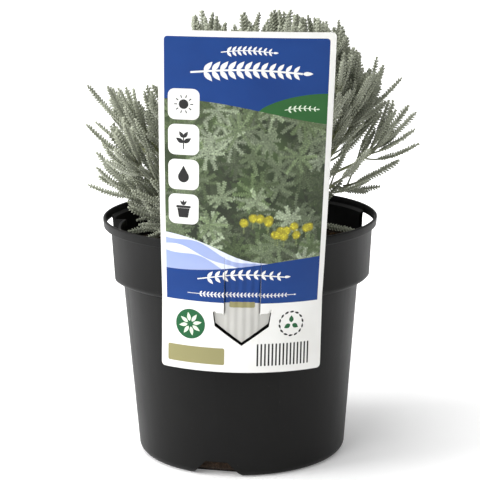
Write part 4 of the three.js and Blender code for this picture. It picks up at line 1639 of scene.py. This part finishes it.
def build_label(materials):
    names = list(materials)
    half = LABEL_WIDTH / 2
    sheet = rounded_box(-half, 0, half, LABEL_LENGTH, LABEL_CORNER, 4)
    window = arrow_outline(CUT_GAP, TONGUE_LIFT, STRAP_TOP)
    tongue = arrow_outline(0, 0, STRAP_TOP)
    shapes = label_shapes()
    marks = tongue_shapes()
    points, edges = sheet_points([sheet, window, tongue] + [outline for outline, _ in shapes + marks])
    result = delaunay_2d_cdt([Vector(p) for p in points], edges, [], 0, 1e-5)
    flat = np.array([tuple(v) for v in result[0]])
    faces = np.array([f for f in result[2] if len(f) == 3])
    middle = flat[faces].mean(1)
    on_tongue = inside_outline(middle, tongue)
    keep = inside_outline(middle, sheet) & (~inside_outline(middle, window) | on_tongue)
    faces, middle, on_tongue = faces[keep], middle[keep], on_tongue[keep]
    kind = print_kinds(middle, on_tongue, shapes, marks, names)
    used, faces = np.unique(faces, return_inverse=True)
    faces = faces.reshape(-1, 3)
    flat = flat[used]
    count = len(flat)
    tongue_point = np.zeros(count, bool)
    tongue_point[faces[on_tongue]] = True
    outward = sheet_outward(flat, tongue_point)
    front = label_points(*flat.T, outward)
    back = label_points(*flat.T, outward - LABEL_THICKNESS)
    directed = np.concatenate([faces[:, [0, 1]], faces[:, [1, 2]], faces[:, [2, 0]]])
    keys = {tuple(e) for e in directed}
    rim = np.array([e for e in keys if (e[1], e[0]) not in keys])
    walls = np.stack([rim[:, 1], rim[:, 0], rim[:, 0] + count, rim[:, 1] + count], -1)
    mesh = bpy.data.meshes.new("plant_label")
    everything = faces.tolist() + (faces[:, ::-1] + count).tolist() + walls.tolist()
    mesh.from_pydata((np.concatenate([front, back]) * MM).tolist(), [], everything)
    for material in materials.values():
        mesh.materials.append(material)
    slots = np.concatenate([kind, np.full(len(faces) + len(walls), names.index("white"))])
    mesh.polygons.foreach_set("material_index", slots)
    mesh.polygons.foreach_set("use_smooth", np.arange(len(slots)) < 2 * len(faces))
    colours = np.ones((2 * count, 4))
    colours[:count, :3] = paint_foliage(flat)
    layer = mesh.color_attributes.new("tone", "FLOAT_COLOR", "POINT")
    layer.data.foreach_set("color", colours.ravel())
    mesh.update()
    obj = bpy.data.objects.new("plant_label", mesh)
    bpy.context.scene.collection.objects.link(obj)
    sharpen_rim(obj)
    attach(obj, "root")
    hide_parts("label")


def sharpen_rim(obj):
    """Edges between the sheet's faces and its cut edge are sharp."""
    work = bmesh.new()
    work.from_mesh(obj.data)
    for edge in work.edges:
        if len(edge.link_faces) == 2 and edge.calc_face_angle(0) > 0.9:
            edge.smooth = False
    work.to_mesh(obj.data)
    work.free()


def label_materials():
    sheets = {
        "white": ((236, 236, 233), (229, 228, 224)),
        "blue": ((15, 60, 128), (12, 54, 120)),
        "green": ((44, 98, 48), (40, 90, 44)),
        "deep_green": ((30, 92, 54),),
        "pale": ((214, 228, 206),),
        "mist": ((216, 222, 238),),
        "haze": ((146, 162, 208), (158, 172, 214)),
        "olive": ((146, 141, 98),),
        "ink": ((38, 38, 38),),
        # strap: the white sheet greyed, as painted shade on the sunken tongue
        "strap": ((196, 195, 190), (186, 185, 180)),
    }
    materials = {}
    for name, colours in sheets.items():
        materials[name] = sheet_material("label_" + name, srgb(*colours[0]), srgb(*colours[-1]))
    materials["picture"] = picture_material()
    return materials


# Stage, light and camera

def build_stage():
    bpy.ops.mesh.primitive_plane_add(size=14, location=(0, 0, 0))
    floor = bpy.context.object
    floor.name = "studio_floor"
    n = Nodes("pale_glowing_floor")
    speck = n.noise(8, 2)
    colour = n.mix(n.math("MULTIPLY", speck, 0.1), srgb(250, 250, 250), srgb(242, 242, 242))
    # Painted light: the floor glows by its own emission, faint in front and stronger behind the pot,
    # whitening the floor and lifting shadows on it.
    axes = n.new("ShaderNodeSeparateXYZ")
    n.link(n.new("ShaderNodeTexCoord").outputs["Object"], axes.inputs[0])
    behind = n.math("MULTIPLY_ADD", axes.outputs["Y"], 1.6, -0.1)
    glow = n.ramp(behind, (0.0, 0.18), (1.0, 0.75))
    n.link(glow, n.shader.inputs["Emission Color"])
    n.shader.inputs["Emission Strength"].default_value = 1.0
    floor.data.materials.append(n.finish(colour, 0.8, specular_ior_level=0.1))
    world = bpy.data.worlds.new("studio")
    bpy.context.scene.world = world
    world.use_nodes = True
    tree = world.node_tree
    background = tree.nodes["Background"]
    background.inputs["Color"].default_value = (1, 1, 1, 1)
    direction = tree.nodes.new("ShaderNodeTexCoord").outputs["Generated"]
    axes = tree.nodes.new("ShaderNodeSeparateXYZ")
    tree.links.new(direction, axes.inputs[0])
    total = None
    for axis, gain in (("X", -0.34), ("Y", 0.06), ("Z", 0.2)):
        node = tree.nodes.new("ShaderNodeMath")
        node.operation = "MULTIPLY_ADD"
        tree.links.new(axes.outputs[axis], node.inputs[0])
        node.inputs[1].default_value = gain
        if total is None:
            node.inputs[2].default_value = 0.46
        else:
            tree.links.new(total, node.inputs[2])
        total = node.outputs[0]
    tree.links.new(total, background.inputs["Strength"])


def add_light(name, place, target, size, power):
    data = bpy.data.lights.new(name, "AREA")
    data.shape = "RECTANGLE"
    data.size, data.size_y = size
    data.energy = power
    obj = bpy.data.objects.new(name, data)
    obj.location = place
    obj.rotation_euler = (Vector(target) - Vector(place)).to_track_quat("-Z", "Y").to_euler()
    bpy.context.scene.collection.objects.link(obj)


def build_lights():
    add_light("left_window", (-1.3, -0.35, 0.8), (0, 0, 0.12), (0.8, 1.1), 15)
    add_light("right_window", (1.35, 0.35, 0.6), (0, 0, 0.1), (0.7, 1.0), 0.5)
    add_light("over", (-0.3, -0.1, 1.6), (0, 0, 0.1), (1.0, 0.8), 11)
    add_light("front_key", (-0.75, -1.25, 0.95), (0, 0, 0.12), (0.7, 0.5), 6.5)


def build_camera():
    pitch, yaw, roll = (math.radians(a) for a in (CAMERA_PITCH, CAMERA_YAW, CAMERA_ROLL))
    ahead = Vector((math.sin(yaw) * math.cos(pitch), math.cos(yaw) * math.cos(pitch), -math.sin(pitch)))
    right = Vector((math.cos(yaw), -math.sin(yaw), 0))
    up = right.cross(ahead)
    x = math.cos(roll) * right + math.sin(roll) * up
    y = -math.sin(roll) * right + math.cos(roll) * up
    data = bpy.data.cameras.new("camera")
    data.sensor_width = SENSOR_WIDTH
    data.lens = FOCAL_LENGTH * SENSOR_WIDTH / IMAGE_WIDTH
    data.clip_start, data.clip_end = 0.05, 50
    camera = bpy.data.objects.new("camera", data)
    turn = Matrix((x, y, -ahead)).transposed().to_4x4()
    camera.matrix_world = Matrix.Translation((0, -CAMERA_DISTANCE, CAMERA_HEIGHT)) @ turn
    bpy.context.scene.collection.objects.link(camera)
    bpy.context.scene.camera = camera


bpy.context.scene.view_settings.view_transform = "Standard"
build_camera()
build_stage()
build_lights()
build_pot(pot_material())
build_soil(soil_material())
build_label(label_materials())
build_bush(leaf_material(), stem_material())

bpy.context.view_layer.update()
